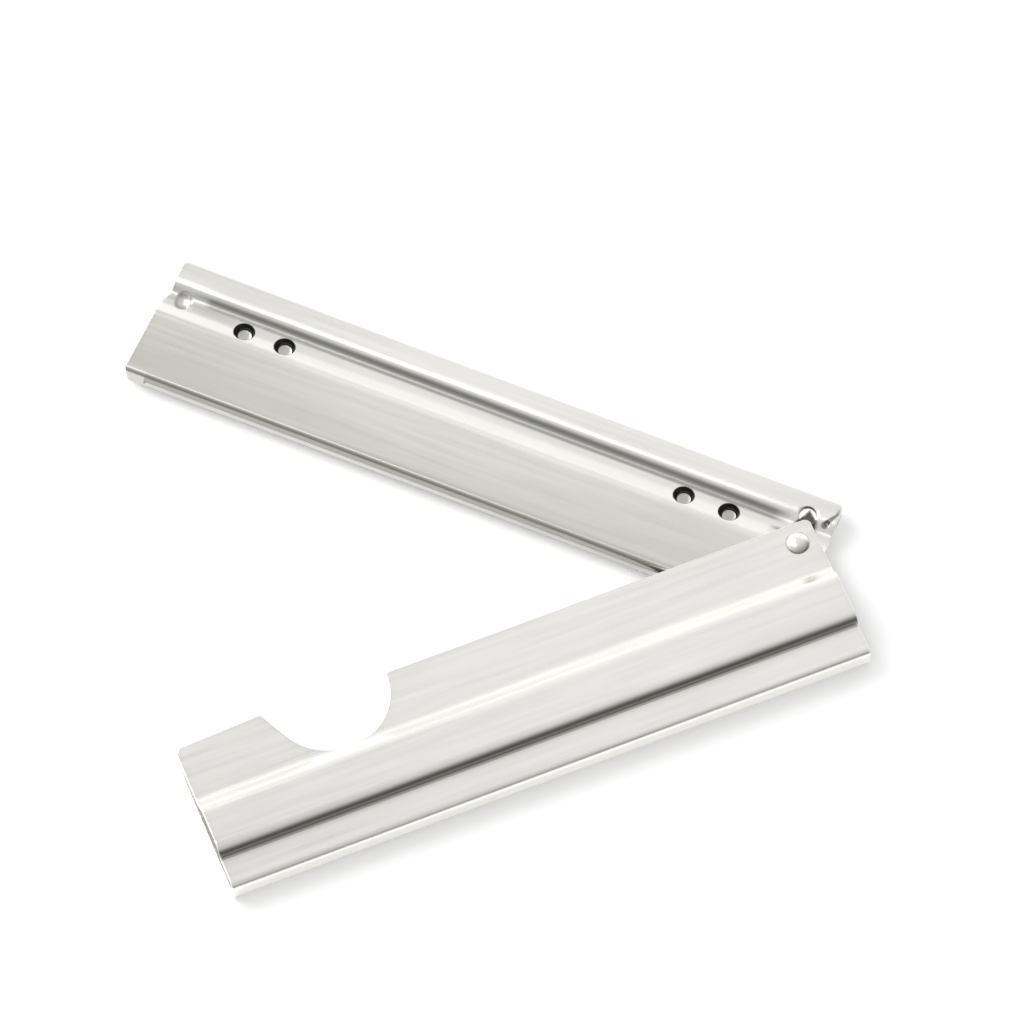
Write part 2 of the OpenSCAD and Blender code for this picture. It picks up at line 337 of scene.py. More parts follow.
@dataclass
class Shell:
    """A folded sheet as two skins on one grid, joined along every open edge."""

    outer: Array
    inner: Array
    keep: Array
    values: dict[Attribute, Array] = field(default_factory=dict)

    def faces(self) -> Array:
        """Works out the quads of both skins, and of the rims along each edge used only once.

        Returns:
            Four point numbers a face.
        """
        rows, columns = self.outer.shape[:2]
        count = rows * columns
        index = np.arange(count).reshape(rows, columns)
        cells = [index[:-1, :-1], index[1:, :-1], index[1:, 1:], index[:-1, 1:]]
        quads = np.stack(cells, axis=-1)[self.keep]
        starts = quads.ravel()
        ends = np.roll(quads, -1, axis=1).ravel()
        alone = ~np.isin(starts * count + ends, ends * count + starts)
        a, b = starts[alone], ends[alone]
        rims = np.stack([b, a, a + count, b + count], axis=1)
        return np.concatenate([quads, quads[:, ::-1] + count, rims])

    def make(self, name: str) -> bpy.types.Object:
        """Makes the sheet's mesh, with the same values on both skins.

        Args:
            name: name of the piece.

        Returns:
            The new object.
        """
        points = np.concatenate([self.outer.reshape(-1, 3), self.inner.reshape(-1, 3)])
        values = {attribute: np.tile(value.ravel(), 2) for attribute, value in self.values.items()}
        return make_mesh(name, points, self.faces(), values)


def enclosed_volume(points: Array, quads: Array) -> float:
    """Signed volume of a closed mesh.

    It is the sum of a . (b x c) / 6 over its triangles, two to a quad.

    Args:
        points: points of the mesh.
        quads: four point numbers a face.

    Returns:
        The volume, positive where the faces look outward.
    """
    a, b, c, d = (points[quads[:, k]] for k in range(4))
    return float(np.einsum("ij,ij->", a, np.cross(b, c) + np.cross(c, d))) / 6.0


def make_mesh(
    name: str, points: Array, quads: Array, values: dict[Attribute, Array] | None = None
) -> bpy.types.Object:
    """Puts a closed quad mesh into the scene with its faces turned outward.

    Points that no face uses are left out, and a quad with two equal corners becomes a triangle.

    Args:
        name: name of the piece.
        points: points in millimetres.
        quads: four point numbers a face.
        values: numbers to store on the points.

    Returns:
        The new object, at the origin with its place in its mesh.
    """
    if enclosed_volume(points, quads) < 0:
        quads = quads[:, ::-1]
    used, inverse = np.unique(quads, return_inverse=True)
    quads = inverse.reshape(quads.shape)
    double = quads == np.roll(quads, -1, axis=1)
    size = 4 - double.sum(axis=1)
    corners = quads[~double]
    mesh = bpy.data.meshes.new(name)
    mesh.vertices.add(len(used))
    mesh.vertices.foreach_set("co", (points[used] * MM).astype(np.float32).ravel())
    mesh.loops.add(len(corners))
    mesh.loops.foreach_set("vertex_index", corners.astype(np.int32))
    mesh.polygons.add(len(size))
    mesh.polygons.foreach_set("loop_start", (np.cumsum(size) - size).astype(np.int32))
    mesh.polygons.foreach_set("loop_total", size.astype(np.int32))
    mesh.polygons.foreach_set("use_smooth", np.ones(len(size), dtype=bool))
    for attribute, numbers in (values or {}).items():
        layer = mesh.attributes.new(attribute.value, "FLOAT", "POINT")
        layer.data.foreach_set("value", numbers[used].astype(np.float32))
    mesh.update(calc_edges=True)
    mesh.validate()
    piece = bpy.data.objects.new(name, mesh)
    bpy.context.scene.collection.objects.link(piece)
    return piece


def revolved(profile: Array, centre: Span, segments: int = 96) -> tuple[Array, Array]:
    """Turns a closed half section about an upright axis.

    Point (r, z) at angle a lies at centre + (r cos a, r sin a), height z. A point with r = 0
    is one shared pole.

    Args:
        profile: rows of r and z, from pole to pole or round a closed ring.
        centre: place of the axis.
        segments: number of steps round.

    Returns:
        Points and quads.
    """
    angle = np.linspace(0.0, 2 * np.pi, segments, endpoint=False)
    r, z = profile[:, :1], profile[:, 1:]
    round_points = (centre[0] + r * np.cos(angle), centre[1] + r * np.sin(angle), z)
    points = np.stack(np.broadcast_arrays(*round_points), axis=-1).reshape(-1, 3)
    ring = np.arange(len(r))[:, None] * segments + np.arange(segments)
    ring = np.where(r < 1e-9, ring[:, :1], ring)
    if r[0, 0] > 1e-9:
        ring = np.concatenate([ring, ring[:1]])
    return points, ring_quads(ring)


# Finishes


class Tree:
    """A material's or world's nodes, with short calls to add and join them."""

    def __init__(self, owner: bpy.types.Material | bpy.types.World) -> None:
        """Starts from an empty set of nodes."""
        owner.use_nodes = True
        self.nodes = owner.node_tree.nodes
        self.links = owner.node_tree.links
        self.nodes.clear()

    def add(
        self, kind: str, inputs: dict[str | int, object] | None = None, **settings: object
    ) -> Node:
        """Adds a node.

        Args:
            kind: Blender's name of the node type, after ShaderNode.
            inputs: what each input gets, a socket to join to it or a value of its own.
            settings: properties of the node.

        Returns:
            The new node.
        """
        node = self.nodes.new("ShaderNode" + kind)
        for name, setting in settings.items():
            setattr(node, name, setting)
        for key, value in (inputs or {}).items():
            target = node.inputs[key]
            if isinstance(value, Socket):
                self.links.new(value, target)
            else:
                target.default_value = (*value, 1.0) if target.type == "RGBA" else value
        return node

    def stored(self, attribute: Attribute) -> Socket:
        """A value stored on the mesh."""
        return self.add("Attribute", attribute_name=attribute.value).outputs["Fac"]

    def ramp(self, source: Socket, start: Span, to: Span) -> Socket:
        """Maps a range of numbers to another.

        Args:
            source: number to map.
            start: the numbers that give the first and the last value.
            to: those two values.

        Returns:
            The mapped number.
        """
        ends = zip(("From Min", "From Max", "To Min", "To Max"), (*start, *to))
        return self.add("MapRange", {"Value": source, **dict(ends)}).outputs["Result"]

    def blend(self, attribute: Attribute, first: Socket | Color, second: Color) -> Socket:
        """Goes from one colour to another by a value stored on the mesh.

        Args:
            attribute: the stored value, from 0 to 1.
            first: colour or socket at 0.
            second: colour at 1.

        Returns:
            The blended colour.
        """
        inputs = {0: self.stored(attribute), 6: first, 7: second}
        return self.add("Mix", inputs, data_type="RGBA", clamp_factor=True).outputs[2]

    def math(self, operation: str, first: Socket | float, second: Socket | float) -> Socket:
        """Works on two numbers by the operation of that name."""
        return self.add("Math", {0: first, 1: second}, operation=operation).outputs["Value"]


@dataclass(frozen=True)
class SteelFinish:
    """Stainless steel with a fine grain brushed along one direction.

    Each grain is the length and width of its streaks in millimetres and its octaves of noise.
    """

    name: str
    grain_degrees: float = 0.0
    color: Color = (0.935, 0.925, 0.888)
    roughness: float = 0.3
    roughness_swing: float = 0.03
    streak_depth: float = 0.022
    cloud_depth: float = 0.016
    bump: float = 0.03
    bump_height: float = 0.02
    rim_roughness: float = 0.2
    dull_tone: Color = (0.722, 0.703, 0.648)
    # Dark colour that the painted shade and the darkening toward the left ends blend toward
    soil_tone: Color = (0.1, 0.1, 0.085)
    fine_grain: tuple[float, float, float] = (9.0, 0.09, 2.0)
    streak_grain: tuple[float, float, float] = (22.0, 0.8, 3.0)
    cloud_grain: tuple[float, float, float] = (14.0, 6.0, 2.0)
    noise_span: Span = (0.3, 0.7)

    def _grain(self, tree: Tree, along: float, across: float, detail: float) -> Socket:
        """Noise stretched along the grain.

        Args:
            tree: nodes of the material.
            along: length of a streak in millimetres.
            across: width of a streak in millimetres.
            detail: octaves of the noise.

        Returns:
            Noise from about 0.2 to 0.8.
        """
        rotation = (0.0, 0.0, -math.radians(self.grain_degrees))
        scale = (1 / (along * MM), 1 / (across * MM), 1 / (across * MM))
        place = tree.add("TexCoord").outputs["Object"]
        turned = tree.add("Mapping", {"Vector": place, "Rotation": rotation}).outputs["Vector"]
        stretched = tree.add("Mapping", {"Vector": turned, "Scale": scale}).outputs["Vector"]
        inputs = {"Vector": stretched, "Scale": 1.0, "Detail": detail}
        return tree.add("TexNoise", inputs).outputs["Fac"]

    def _swing(self, tree: Tree, noise: Socket, middle: float, swing: float) -> Socket:
        """A number that the noise moves from middle - swing to middle + swing."""
        return tree.ramp(noise, self.noise_span, (middle - swing, middle + swing))

    def make(self) -> bpy.types.Material:
        """Builds the material.

        Returns:
            The material, with grain in its colour, roughness and bump.
        """
        material = bpy.data.materials.new(self.name)
        tree = Tree(material)
        fine = self._grain(tree, *self.fine_grain)
        streaks = self._grain(tree, *self.streak_grain)
        clouds = self._grain(tree, *self.cloud_grain)
        streaked = self._swing(tree, streaks, 1.0, self.streak_depth)
        shade = tree.math("ADD", streaked, self._swing(tree, clouds, 0.0, self.cloud_depth))
        clean = tree.blend(Attribute.DULL, self.color, self.dull_tone)
        tint = tree.add("VectorMath", {0: clean, "Scale": shade}, operation="SCALE")
        # Painted shade and darkening blend the colour toward the dark tone
        color = tree.blend(Attribute.SOIL, tint.outputs["Vector"], self.soil_tone)
        rough = self._swing(tree, streaks, self.roughness, self.roughness_swing)
        # Rims are worn smoother: the roughness falls off by the stored rim value
        smoother = self.roughness - self.rim_roughness
        fall_off = tree.math("MULTIPLY", tree.stored(Attribute.RIM), smoother)
        bumps = {"Strength": self.bump, "Distance": self.bump_height * MM, "Height": fine}
        inputs = {
            "Metallic": 1.0,
            "Base Color": color,
            "Roughness": tree.math("SUBTRACT", rough, fall_off),
            "Normal": tree.add("Bump", bumps).outputs["Normal"],
        }
        steel = tree.add("BsdfPrincipled", inputs)
        tree.add("OutputMaterial", {"Surface": steel.outputs["BSDF"]})
        return material


# Placing


def dress(
    piece: bpy.types.Object, finish: SteelFinish, node: str, body: Body
) -> bpy.types.Object:
    """Gives a piece its finish and its place in the frame.

    Args:
        piece: new piece.
        finish: its finish.
        node: the CAD node that it stands for.
        body: the body that it rides on.

    Returns:
        The same piece.
    """
    piece.data.materials.append(finish.make())
    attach(piece, body.value)
    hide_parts(node)
    LOG.info("%s: %d faces", piece.name, len(piece.data.polygons))
    return piece


@dataclass(frozen=True)
class Pivot:
    """Place of the rivet, its distance in from the arm's back, and the arm's turn about it."""

    x: float = 51.6
    y: float = 9.3
    arm_back: float = 10.25
    turn_degrees: float = -44.6

    def place(self, points: Array) -> Array:
        """Carries points from the arm's own frame to the part's frame.

        With y = back - b, (x, y) turns by the arm's angle about the rivet, and z stays.

        Args:
            points: rows of x, b and z in the arm's frame.

        Returns:
            Points in the part's frame.
        """
        turn = math.radians(self.turn_degrees)
        along, across = points[..., 0], self.arm_back - points[..., 1]
        x = self.x + along * math.cos(turn) - across * math.sin(turn)
        y = self.y + along * math.sin(turn) + across * math.cos(turn)
        return np.stack([x, y, points[..., 2]], axis=-1)


# Handle


@dataclass
class HandleCover:
    """The handle: one sheet folded along its spine, with a finger notch through both leaves."""

    pivot: Pivot
    end: float = 55.0
    open_edge: float = 12.9
    spine_edge: float = -12.9
    sheet: float = 0.8
    spine_width: float = 5.5
    spine_height: float = 4.4
    spine_bend: float = 0.7
    step_run: float = 0.3
    step_foot_bend: float = 0.6
    step_top_bend: float = 1.8
    band_height: float = 6.6
    mouth_flat: float = 9.9
    ramp_run: float = 2.2
    mouth_height: float = 4.8
    ramp_bend: float = 2.0
    corner: float = 1.1
    tab_rise: float = 0.6
    notch_x: float = -28.7
    notch_radius: float = 9.9
    notch_lead: float = 1.5
    notch_edge_round: float = 0.45
    rim_round: float = 0.14
    rim_support: float = 0.14
    lower_rail: float = 1.3
    upper_rail: float = -0.1
    head_hole: float = 1.27
    flush_hole: float = 2.03
    taper_end: float = 2.8
    # Painted shade in the step's crease and round the rivet's head, and a darkening toward the left
    # end
    crease_soil: float = 0.86
    head_rim: float = 1.88
    ring_soil: float = 0.6
    ring_reach: float = 0.1
    worn_soil: float = 0.2
    worn_span: Span = (-75.0, 35.0)
    clean_slope: tuple[Span, Span] = ((0.5, 1.2), (2.8, 3.5))
    rim_wear: float = 0.25
    corner_lines: tuple[float, ...] = (0.4, 0.6, 0.85, 1.1, 1.25)
    arc_points: int = 64
    arc_gap: float = 0.05
    straight_ends: Span = (2.5, 1.6)
    kept_share: float = 0.34
    rivet_warp: Span = (3.0, 2.5)

    def _rivet_rings(self) -> Array:
        """Ring radii of the grid round the rivet."""
        return np.array([self.head_hole, 1.5, 1.8, self.flush_hole, 2.15, 2.4, self.taper_end])

    def _section(self) -> FoldedLine:
        """Middle line from the lower leaf's rail round the spine to the band's rail."""
        half = self.sheet / 2
        side = self.spine_edge + half
        step = self.spine_edge + self.spine_width
        corners = (
            (self.lower_rail, half),
            (side, half),
            (side, self.spine_height - half),
            (step, self.spine_height - half),
            (step + self.step_run, self.band_height - half),
            (self.upper_rail, self.band_height - half),
        )
        radii = (self.spine_bend, self.spine_bend, self.step_foot_bend, self.step_top_bend)
        return FoldedLine(corners, radii)

    def _upper_leaf(self) -> FoldedLine:
        """Middle line of the upper leaf from within the band to beyond the open edge."""
        half = self.sheet / 2
        ramp_foot = self.open_edge - self.mouth_flat
        corners = (
            (self.upper_rail - 1.0, self.band_height - half),
            (ramp_foot - self.ramp_run, self.band_height - half),
            (ramp_foot, self.mouth_height - half),
            (self.open_edge + 2.0, self.mouth_height - half),
        )
        return FoldedLine(corners, (self.ramp_bend, self.ramp_bend), step_degrees=1.0)

    def _edge(self) -> tuple[Array, Array]:
        """Plan of the open edge, with its inward directions.

        Corner rounds are y = y0 + sqrt(r^2 - (r - d)^2) at distance d from the end, and the
        notch is an arc with a straight lead-in that touches it.

        Returns:
            Points from the free end to the rivet's end, and unit directions into the sheet.
        """
        d = np.concatenate([rim_rings(self.rim_round), self.corner_lines])
        side = self.open_edge - round_off(self.corner, d)
        lead = self.notch_radius + self.notch_lead
        spread = math.acos(self.notch_radius / lead)
        angle = np.linspace(math.pi + spread, 2 * math.pi - self.arc_gap, self.arc_points)
        middle = np.array([self.notch_x, self.open_edge])
        arc = middle + self.notch_radius * np.stack([np.cos(angle), np.sin(angle)], axis=1)
        tip = middle + (-lead, self.tab_rise)
        slope = self.tab_rise / (tip[0] + self.end)
        left = np.stack([d - self.end, side + slope * d], axis=1)
        right = np.stack([self.end - d, side], axis=1)[::-1]
        rounds = (self.notch_edge_round,)
        lead_in = FoldedLine((left[-1], tip, arc[0]), rounds, step_degrees=10.0).sample()[0]
        far_corner = middle + (self.notch_radius, 0.0)
        lead_out = FoldedLine((arc[-1], far_corner, right[0]), rounds, step_degrees=10.0).sample()[0]
        edge = self._filled(np.concatenate([left, lead_in[1:-2], arc, lead_out[1:-1], right]))
        along = np.gradient(edge, axis=0)
        inward = np.stack([along[:, 1], -along[:, 0]], axis=1)
        inward /= np.linalg.norm(inward, axis=1)[:, None]
        low, high = (self.end - gap for gap in self.straight_ends)
        straight = smooth_step(low, high, np.abs(edge[:, :1]))
        inward = inward * (1 - straight) + np.array([0.0, -1.0]) * straight
        return edge, inward / np.linalg.norm(inward, axis=1)[:, None]

    def _filled(self, edge: Array) -> Array:
        """Adds stations to long straight stretches, and a pair for each ring round the rivet.

        Args:
            edge: points of the open edge.

        Returns:
            The same edge with the new points in their order along it.
        """
        rings = both_sides(self.pivot.x, self._rivet_rings())
        x = np.concatenate([np.arange(-52.0, -41.0, 2.5), np.arange(-17.0, 48.0, 4.0), rings])
        x = x[np.abs(x[:, None] - edge[None, :, 0]).min(axis=1) > 0.02]
        order = np.arange(len(edge), dtype=float)
        y, place = (np.interp(x, edge[:, 0], row) for row in (edge[:, 1], order))
        joined = np.concatenate([edge, np.stack([x, y], axis=1)])
        return joined[np.argsort(np.concatenate([order, place]), kind="stable")]

    def _leaf(
        self, rail: float, extra: Array, gap: float, edge: Array, inward: Array
    ) -> tuple[Array, Array]:
        """Plan of one leaf's grid, from its rail to the open edge, ringed round the rivet.

        Lines keep their place up to a limit, and the rest shares what is left up to the edge.

        Args:
            rail: y of the rail.
            extra: y of the lines between the rivet's rings, on a leaf that isn't notched.
            gap: least distance of such a line from a ring's.
            edge: points of the open edge.
            inward: directions from the edge into the sheet.

        Returns:
            x and y of the grid, a row for each point of the edge.
        """
        lines = merged_lines(both_sides(self.pivot.y, self._rivet_rings()), extra, gap)
        lines[0] = rail
        rings = rim_rings(self.rim_round, self.rim_support)[::-1]
        inner = edge + inward * rings[0]
        length = inner[:, 1:] - rail
        reach = lines[-1] - rail
        kept = np.minimum(self.kept_share * reach, length / 2)
        s = lines - rail
        y = np.where(s <= kept, s, kept + (length - kept) * (s - kept) / (reach - kept))
        x = edge[:, :1] + (inner[:, :1] - edge[:, :1]) * y / length
        by_edge = edge[:, None] + inward[:, None] * rings[1:, None]
        plan = np.concatenate([np.stack([x, rail + y], axis=-1), by_edge], axis=1)
        warp = RoundWarp(self.pivot.x, self.pivot.y, *self.rivet_warp)
        return warp.apply(plan[..., 0], plan[..., 1])

    def _outline_distance(self, x: Array, y: Array, edge: Array) -> Array:
        """Distance of grid points from the sheet's outline in plan.

        The nearest point of an edge's piece a + t * v has t = (p - a) . v / v^2, from 0 to 1.

        Args:
            x: grid x.
            y: grid y.
            edge: points of the open edge.

        Returns:
            Distance from the open edge or an end, whichever is nearer.
        """
        along = np.diff(edge, axis=0)
        square = np.maximum((along**2).sum(axis=1), 1e-12)
        start = np.stack([x, y], axis=-1).reshape(-1, 1, 2) - edge[:-1]
        t = np.clip((start * along).sum(axis=2) / square, 0.0, 1.0)
        nearest = np.linalg.norm(start - t[..., None] * along, axis=2).min(axis=1)
        return np.minimum(nearest.reshape(x.shape), self.end - np.abs(x))

    def shell(self) -> Shell:
        """Works out both skins of the sheet.

        A skin is the middle surface moved by the half thickness along the section's normal.

        Returns:
            The sheet as a shell.
        """
        edge, inward = self._edge()
        low_extra = np.arange(self.lower_rail, 12.6, 1.0)
        top_extra = np.concatenate([np.arange(self.upper_rail, 3.9, 0.16), np.arange(4.0, 12.7, 0.5)])
        low_x, low_y = self._leaf(self.lower_rail, low_extra, 0.15, edge, inward)
        top_x, top_y = self._leaf(self.upper_rail, top_extra, 0.12, edge, inward)
        surface = Surface.joined([
            Surface.spread(low_x[:, ::-1], low_y[:, ::-1], self.sheet / 2, 0.0, -1.0),
            Surface.folded(edge[:, 0], self._section()),
            Surface.spread(top_x, top_y, *self._upper_leaf().over(top_y)),
        ])
        x, y = surface.x, surface.side
        distance = self.end - np.abs(x)
        for leaf in (slice(None, low_x.shape[1]), slice(-top_x.shape[1], None)):
            distance[:, leaf] = self._outline_distance(x[:, leaf], y[:, leaf], edge)
        outer, inner = surface.skins(rim_height(self.sheet / 2, self.rim_round, distance))
        keep = self._holes(x, y, outer, inner, low_x.shape[1])
        rim = np.exp(-distance / self.rim_wear)
        soil = self._soil(x, y, outer[..., 2])
        return Shell(outer, inner, keep, {Attribute.RIM: rim, Attribute.SOIL: soil})

    def _soil(self, x: Array, y: Array, z: Array) -> Array:
        """Painted shade at the step's foot and round the rivet's head; darker toward the left end.

        The painted crease shade darkens with height over the step's foot and fades toward the
        band, and the darkening at the left leaves the slope out.

        Args:
            x: grid x.
            y: grid y.
            z: height of the outer skin.

        Returns:
            From 0, unchanged, to 1, dark.
        """
        foot = self.spine_edge + self.spine_width - self.sheet / 2
        spine, band = self.spine_height, self.band_height
        # Painted shade in the crease at the step's foot
        crease = between((spine - 0.05, spine + 1.0), (band - 0.75, band - 0.05), z)
        crease = self.crease_soil * crease * (y > foot - 0.6) * (y < foot + 4.0)
        # Painted contact shade round the rim of the rivet's head
        from_rivet = np.hypot(x - self.pivot.x, y - self.pivot.y)
        ring = self.ring_soil * ridge(self.head_rim, self.ring_reach, from_rivet)
        # Darker toward the left end, left off on the slope
        fall_off = self.worn_soil * fade(*self.worn_span, x) * (1.0 - between(*self.clean_slope, y))
        return np.maximum.reduce([fall_off, crease, ring]) * (z > spine - 0.1)

    def _holes(self, x: Array, y: Array, outer: Array, inner: Array, lower: int) -> Array:
        """Opens the rivet's holes, and tapers the one in the lower leaf toward the inside.

        Args:
            x: grid x.
            y: grid y.
            outer: outer skin.
            inner: inner skin, changed in place.
            lower: number of the lower leaf's columns.

        Returns:
            Which grid cells stay.
        """
        from_rivet = np.hypot(x - self.pivot.x, y - self.pivot.y)
        below = np.arange(x.shape[1]) < lower
        above = outer[..., 2] > self.spine_height
        radius = np.where(below, self.flush_hole, np.where(above, self.head_hole, 0.0))
        taper = 1.0 - self.head_hole / self.flush_hole
        taper = taper * fade(self.flush_hole, self.taper_end, from_rivet)
        shrink = np.where(below, 1.0 - taper, 1.0)[..., None]
        centre = np.array([self.pivot.x, self.pivot.y])
        inner[..., :2] = centre + (inner[..., :2] - centre) * shrink
        return ~whole_cells(from_rivet < radius + HOLE_SLACK)

    def build(self) -> bpy.types.Object:
        """Makes the handle's mesh and dresses it."""
        piece, finish = self.shell().make("handle_sheet"), SteelFinish("handle_brushed_steel")
        return dress(piece, finish, "handle_cover", Body.HANDLE)


# Rivet and washers


@dataclass
class PivotRivet:
    """The rivet: a domed head on the upper leaf, a shank and a flush head in the lower leaf."""

    pivot: Pivot
    shank: float = 1.25
    head: float = 1.85
    head_height: float = 0.9
    head_rim: float = 0.15
    seat_level: float = 4.8
    flush_head: float = 2.0
    flush_depth: float = 0.55
    underside: float = 0.012

    def profile(self) -> Array:
        """Half section from the underside's pole to the top's pole.

        The dome is an arc of radius (r^2 + h^2) / 2h through the rim and the top.

        Returns:
            Rows of r and z.
        """
        rise = self.head_height - self.head_rim
        dome = (self.head**2 + rise**2) / (2 * rise)
        centre = self.seat_level + self.head_height - dome
        angle = np.linspace(math.asin(self.head / dome), 0.0, 22)[1:]
        arc = np.stack([dome * np.sin(angle), centre + dome * np.cos(angle)], axis=1)
        arc[-1, 0] = 0.0
        flush, shank, head, low = self.flush_head, self.shank, self.head, self.underside
        seat, rim = self.seat_level, self.seat_level + self.head_rim
        sides = [
            (0.0, low), (1.2, low), (1.7, low), (flush - 0.06, low + 0.004), (flush - 0.02, 0.04),
            (flush - 0.05, 0.08), (shank, self.flush_depth), (shank, self.flush_depth + 0.1),
            (shank, seat - 0.1), (shank, seat), (head - 0.12, seat), (head - 0.03, seat + 0.03),
            (head, seat + 0.07), (head, rim - 0.03), (head - 0.03, rim + 0.02),
        ]
        return np.concatenate([np.array(sides), arc])

    def _soil(self, points: Array) -> Array:
        """Painted shade under the head's rim and over the far right side of the dome.

        Args:
            points: points of the rivet.

        Returns:
            From 0, unshaded, to 1, dark.
        """
        rim = self.seat_level + self.head_rim
        # Painted contact shade under the head's rim
        below = 0.9 * fade(rim - 0.06, rim + 0.12, points[:, 2])
        # Painted shade on the dome's far right side, darker still at its low rim
        away = 0.42 * (points[:, 0] - self.pivot.x) - 0.9 * (points[:, 1] - self.pivot.y)
        right_side_shade = 0.5 * smooth_step(0.1, 1.6, away) + 0.35 * smooth_step(1.45, 1.8, away)
        return np.maximum(below, right_side_shade)

    def build(self) -> bpy.types.Object:
        """Makes the rivet's mesh and dresses it.

        Returns:
            The rivet.
        """
        points, quads = revolved(self.profile(), (self.pivot.x, self.pivot.y))
        piece = make_mesh("rivet_turned", points, quads, {Attribute.SOIL: self._soil(points)})
        finish = SteelFinish(
            "rivet_polished_steel", color=(0.96, 0.94, 0.87), roughness=0.19, rim_roughness=0.19,
            streak_depth=0.02, cloud_depth=0.02, bump=0.02,
        )
        return dress(piece, finish, "pivot_rivet", Body.HANDLE)


@dataclass
class Washer:
    """A thin flat washer round the rivet's shank."""

    pivot: Pivot
    node: str
    level: float
    bore: float = 1.3
    outside: float = 3.1
    thickness: float = 0.15
    edge: float = 0.04

    def profile(self) -> Array:
        """Closed half section with small chamfers, rows of r and z."""
        low, high, e = self.level, self.level + self.thickness, self.edge
        bore, outside = self.bore, self.outside
        return np.array([
            (bore, low + e), (bore + e, low), (outside - e, low), (outside, low + e),
            (outside, high - e), (outside - e, high), (bore + e, high), (bore, high - e),
        ])

    def build(self) -> bpy.types.Object:
        """Makes the washer's mesh and dresses it.

        Returns:
            The washer.
        """
        points, quads = revolved(self.profile(), (self.pivot.x, self.pivot.y), 72)
        piece = make_mesh(self.node + "_ring", points, quads)
        finish = SteelFinish(self.node + "_rolled_steel", color=(0.7, 0.69, 0.67), roughness=0.34)
        return dress(piece, finish, self.node, Body.HANDLE)


# Blade arm


@dataclass(frozen=True)
class Hollow:
    """A round hollow pressed into the arm's upper leaf, with its middle at x and b."""

    x: float
    b: float

    def distance(self, x: Array, b: Array) -> Array:
        """Distance in plan from the hollow's middle."""
        return np.hypot(x - self.x, b - self.b)

    def surface(self, x: Array, b: Array) -> Array:
        """Height of the hollow over the plan, high outside it."""
        raise NotImplementedError


@dataclass(frozen=True)
class Pit(Hollow):
    """A round clinch pit: a flat floor, a cone and a steep mouth."""

    floor: float = 1.3
    floor_radius: float = 1.12
    neck: float = 2.3
    neck_radius: float = 1.72
    mouth_radius: float = 1.84
    floor_soil: float = 0.45

    def surface(self, x: Array, b: Array) -> Array:
        """Height of the pit: straight lines between a few radii, high outside it."""
        steps = (
            (0.0, self.floor - 0.02),
            (self.floor_radius - 0.1, self.floor),
            (self.floor_radius + 0.08, self.floor + 0.07),
            (self.neck_radius - 0.06, self.neck - 0.14),
            (self.neck_radius, self.neck + 0.1),
            (self.mouth_radius, self.neck + 2.0),
            (2.4, 12.0),
        )
        return np.interp(self.distance(x, b), *zip(*steps))

    def soil(self, x: Array, b: Array) -> Array:
        """Painted shade on the pit's wall, and less of it on its floor.

        Args:
            x: place along the arm.
            b: distance from the back.

        Returns:
            From 0, unshaded, to 1, dark.
        """
        low, high, distance = self.floor_radius, self.mouth_radius, self.distance(x, b)
        wall = between((low - 0.25, low + 0.1), (high - 0.08, high + 0.04), distance)
        return np.maximum(wall, self.floor_soil * fade(low - 0.25, low, distance))


@dataclass(frozen=True)
class Scoop(Hollow):
    """A round-bottomed hollow."""

    level: float
    radius: float
    steepness: float = 6.0

    def surface(self, x: Array, b: Array) -> Array:
        """Height of the hollow: level + R - sqrt(R^2 - d^2), high outside it."""
        beyond = self.distance(x, b) - self.radius
        return self.level + round_off(self.radius, -beyond) + self.steepness * np.maximum(beyond, 0.0)


@dataclass(frozen=True)
class Relief(Hollow):
    """A shallow round hollow with a steep wall and a floor that falls away from the back."""

    low: float
    high: float
    radius: float
    steepness: float = 5.0

    def surface(self, x: Array, b: Array) -> Array:
        """Height of the hollow: a tilted floor inside a steep wall, high outside it."""
        beyond = self.distance(x, b) - self.radius
        tilt = np.clip((b - self.b) / (2 * self.radius) + 0.5, 0.0, 2.0)
        return self.high + (self.low - self.high) * tilt + self.steepness * np.maximum(beyond, 0.0)


@dataclass(frozen=True)
class ShadeBand:
    """A band of painted shade on the arm: how dark, and where it rises and falls over b and along x.

    The spans along x that stand here already lie beyond the arm, so the band runs all along it.
    """

    strength: float
    b_rise: Span
    b_fall: Span
    x_rise: Span = (-200.0, -199.0)
    x_fall: Span = (199.0, 200.0)

    def soil(self, x: Array, b: Array) -> Array:
        """The strength times the step up and down over b and along x."""
        across = self.strength * between(self.b_rise, self.b_fall, b)
        return across * between(self.x_rise, self.x_fall, x)


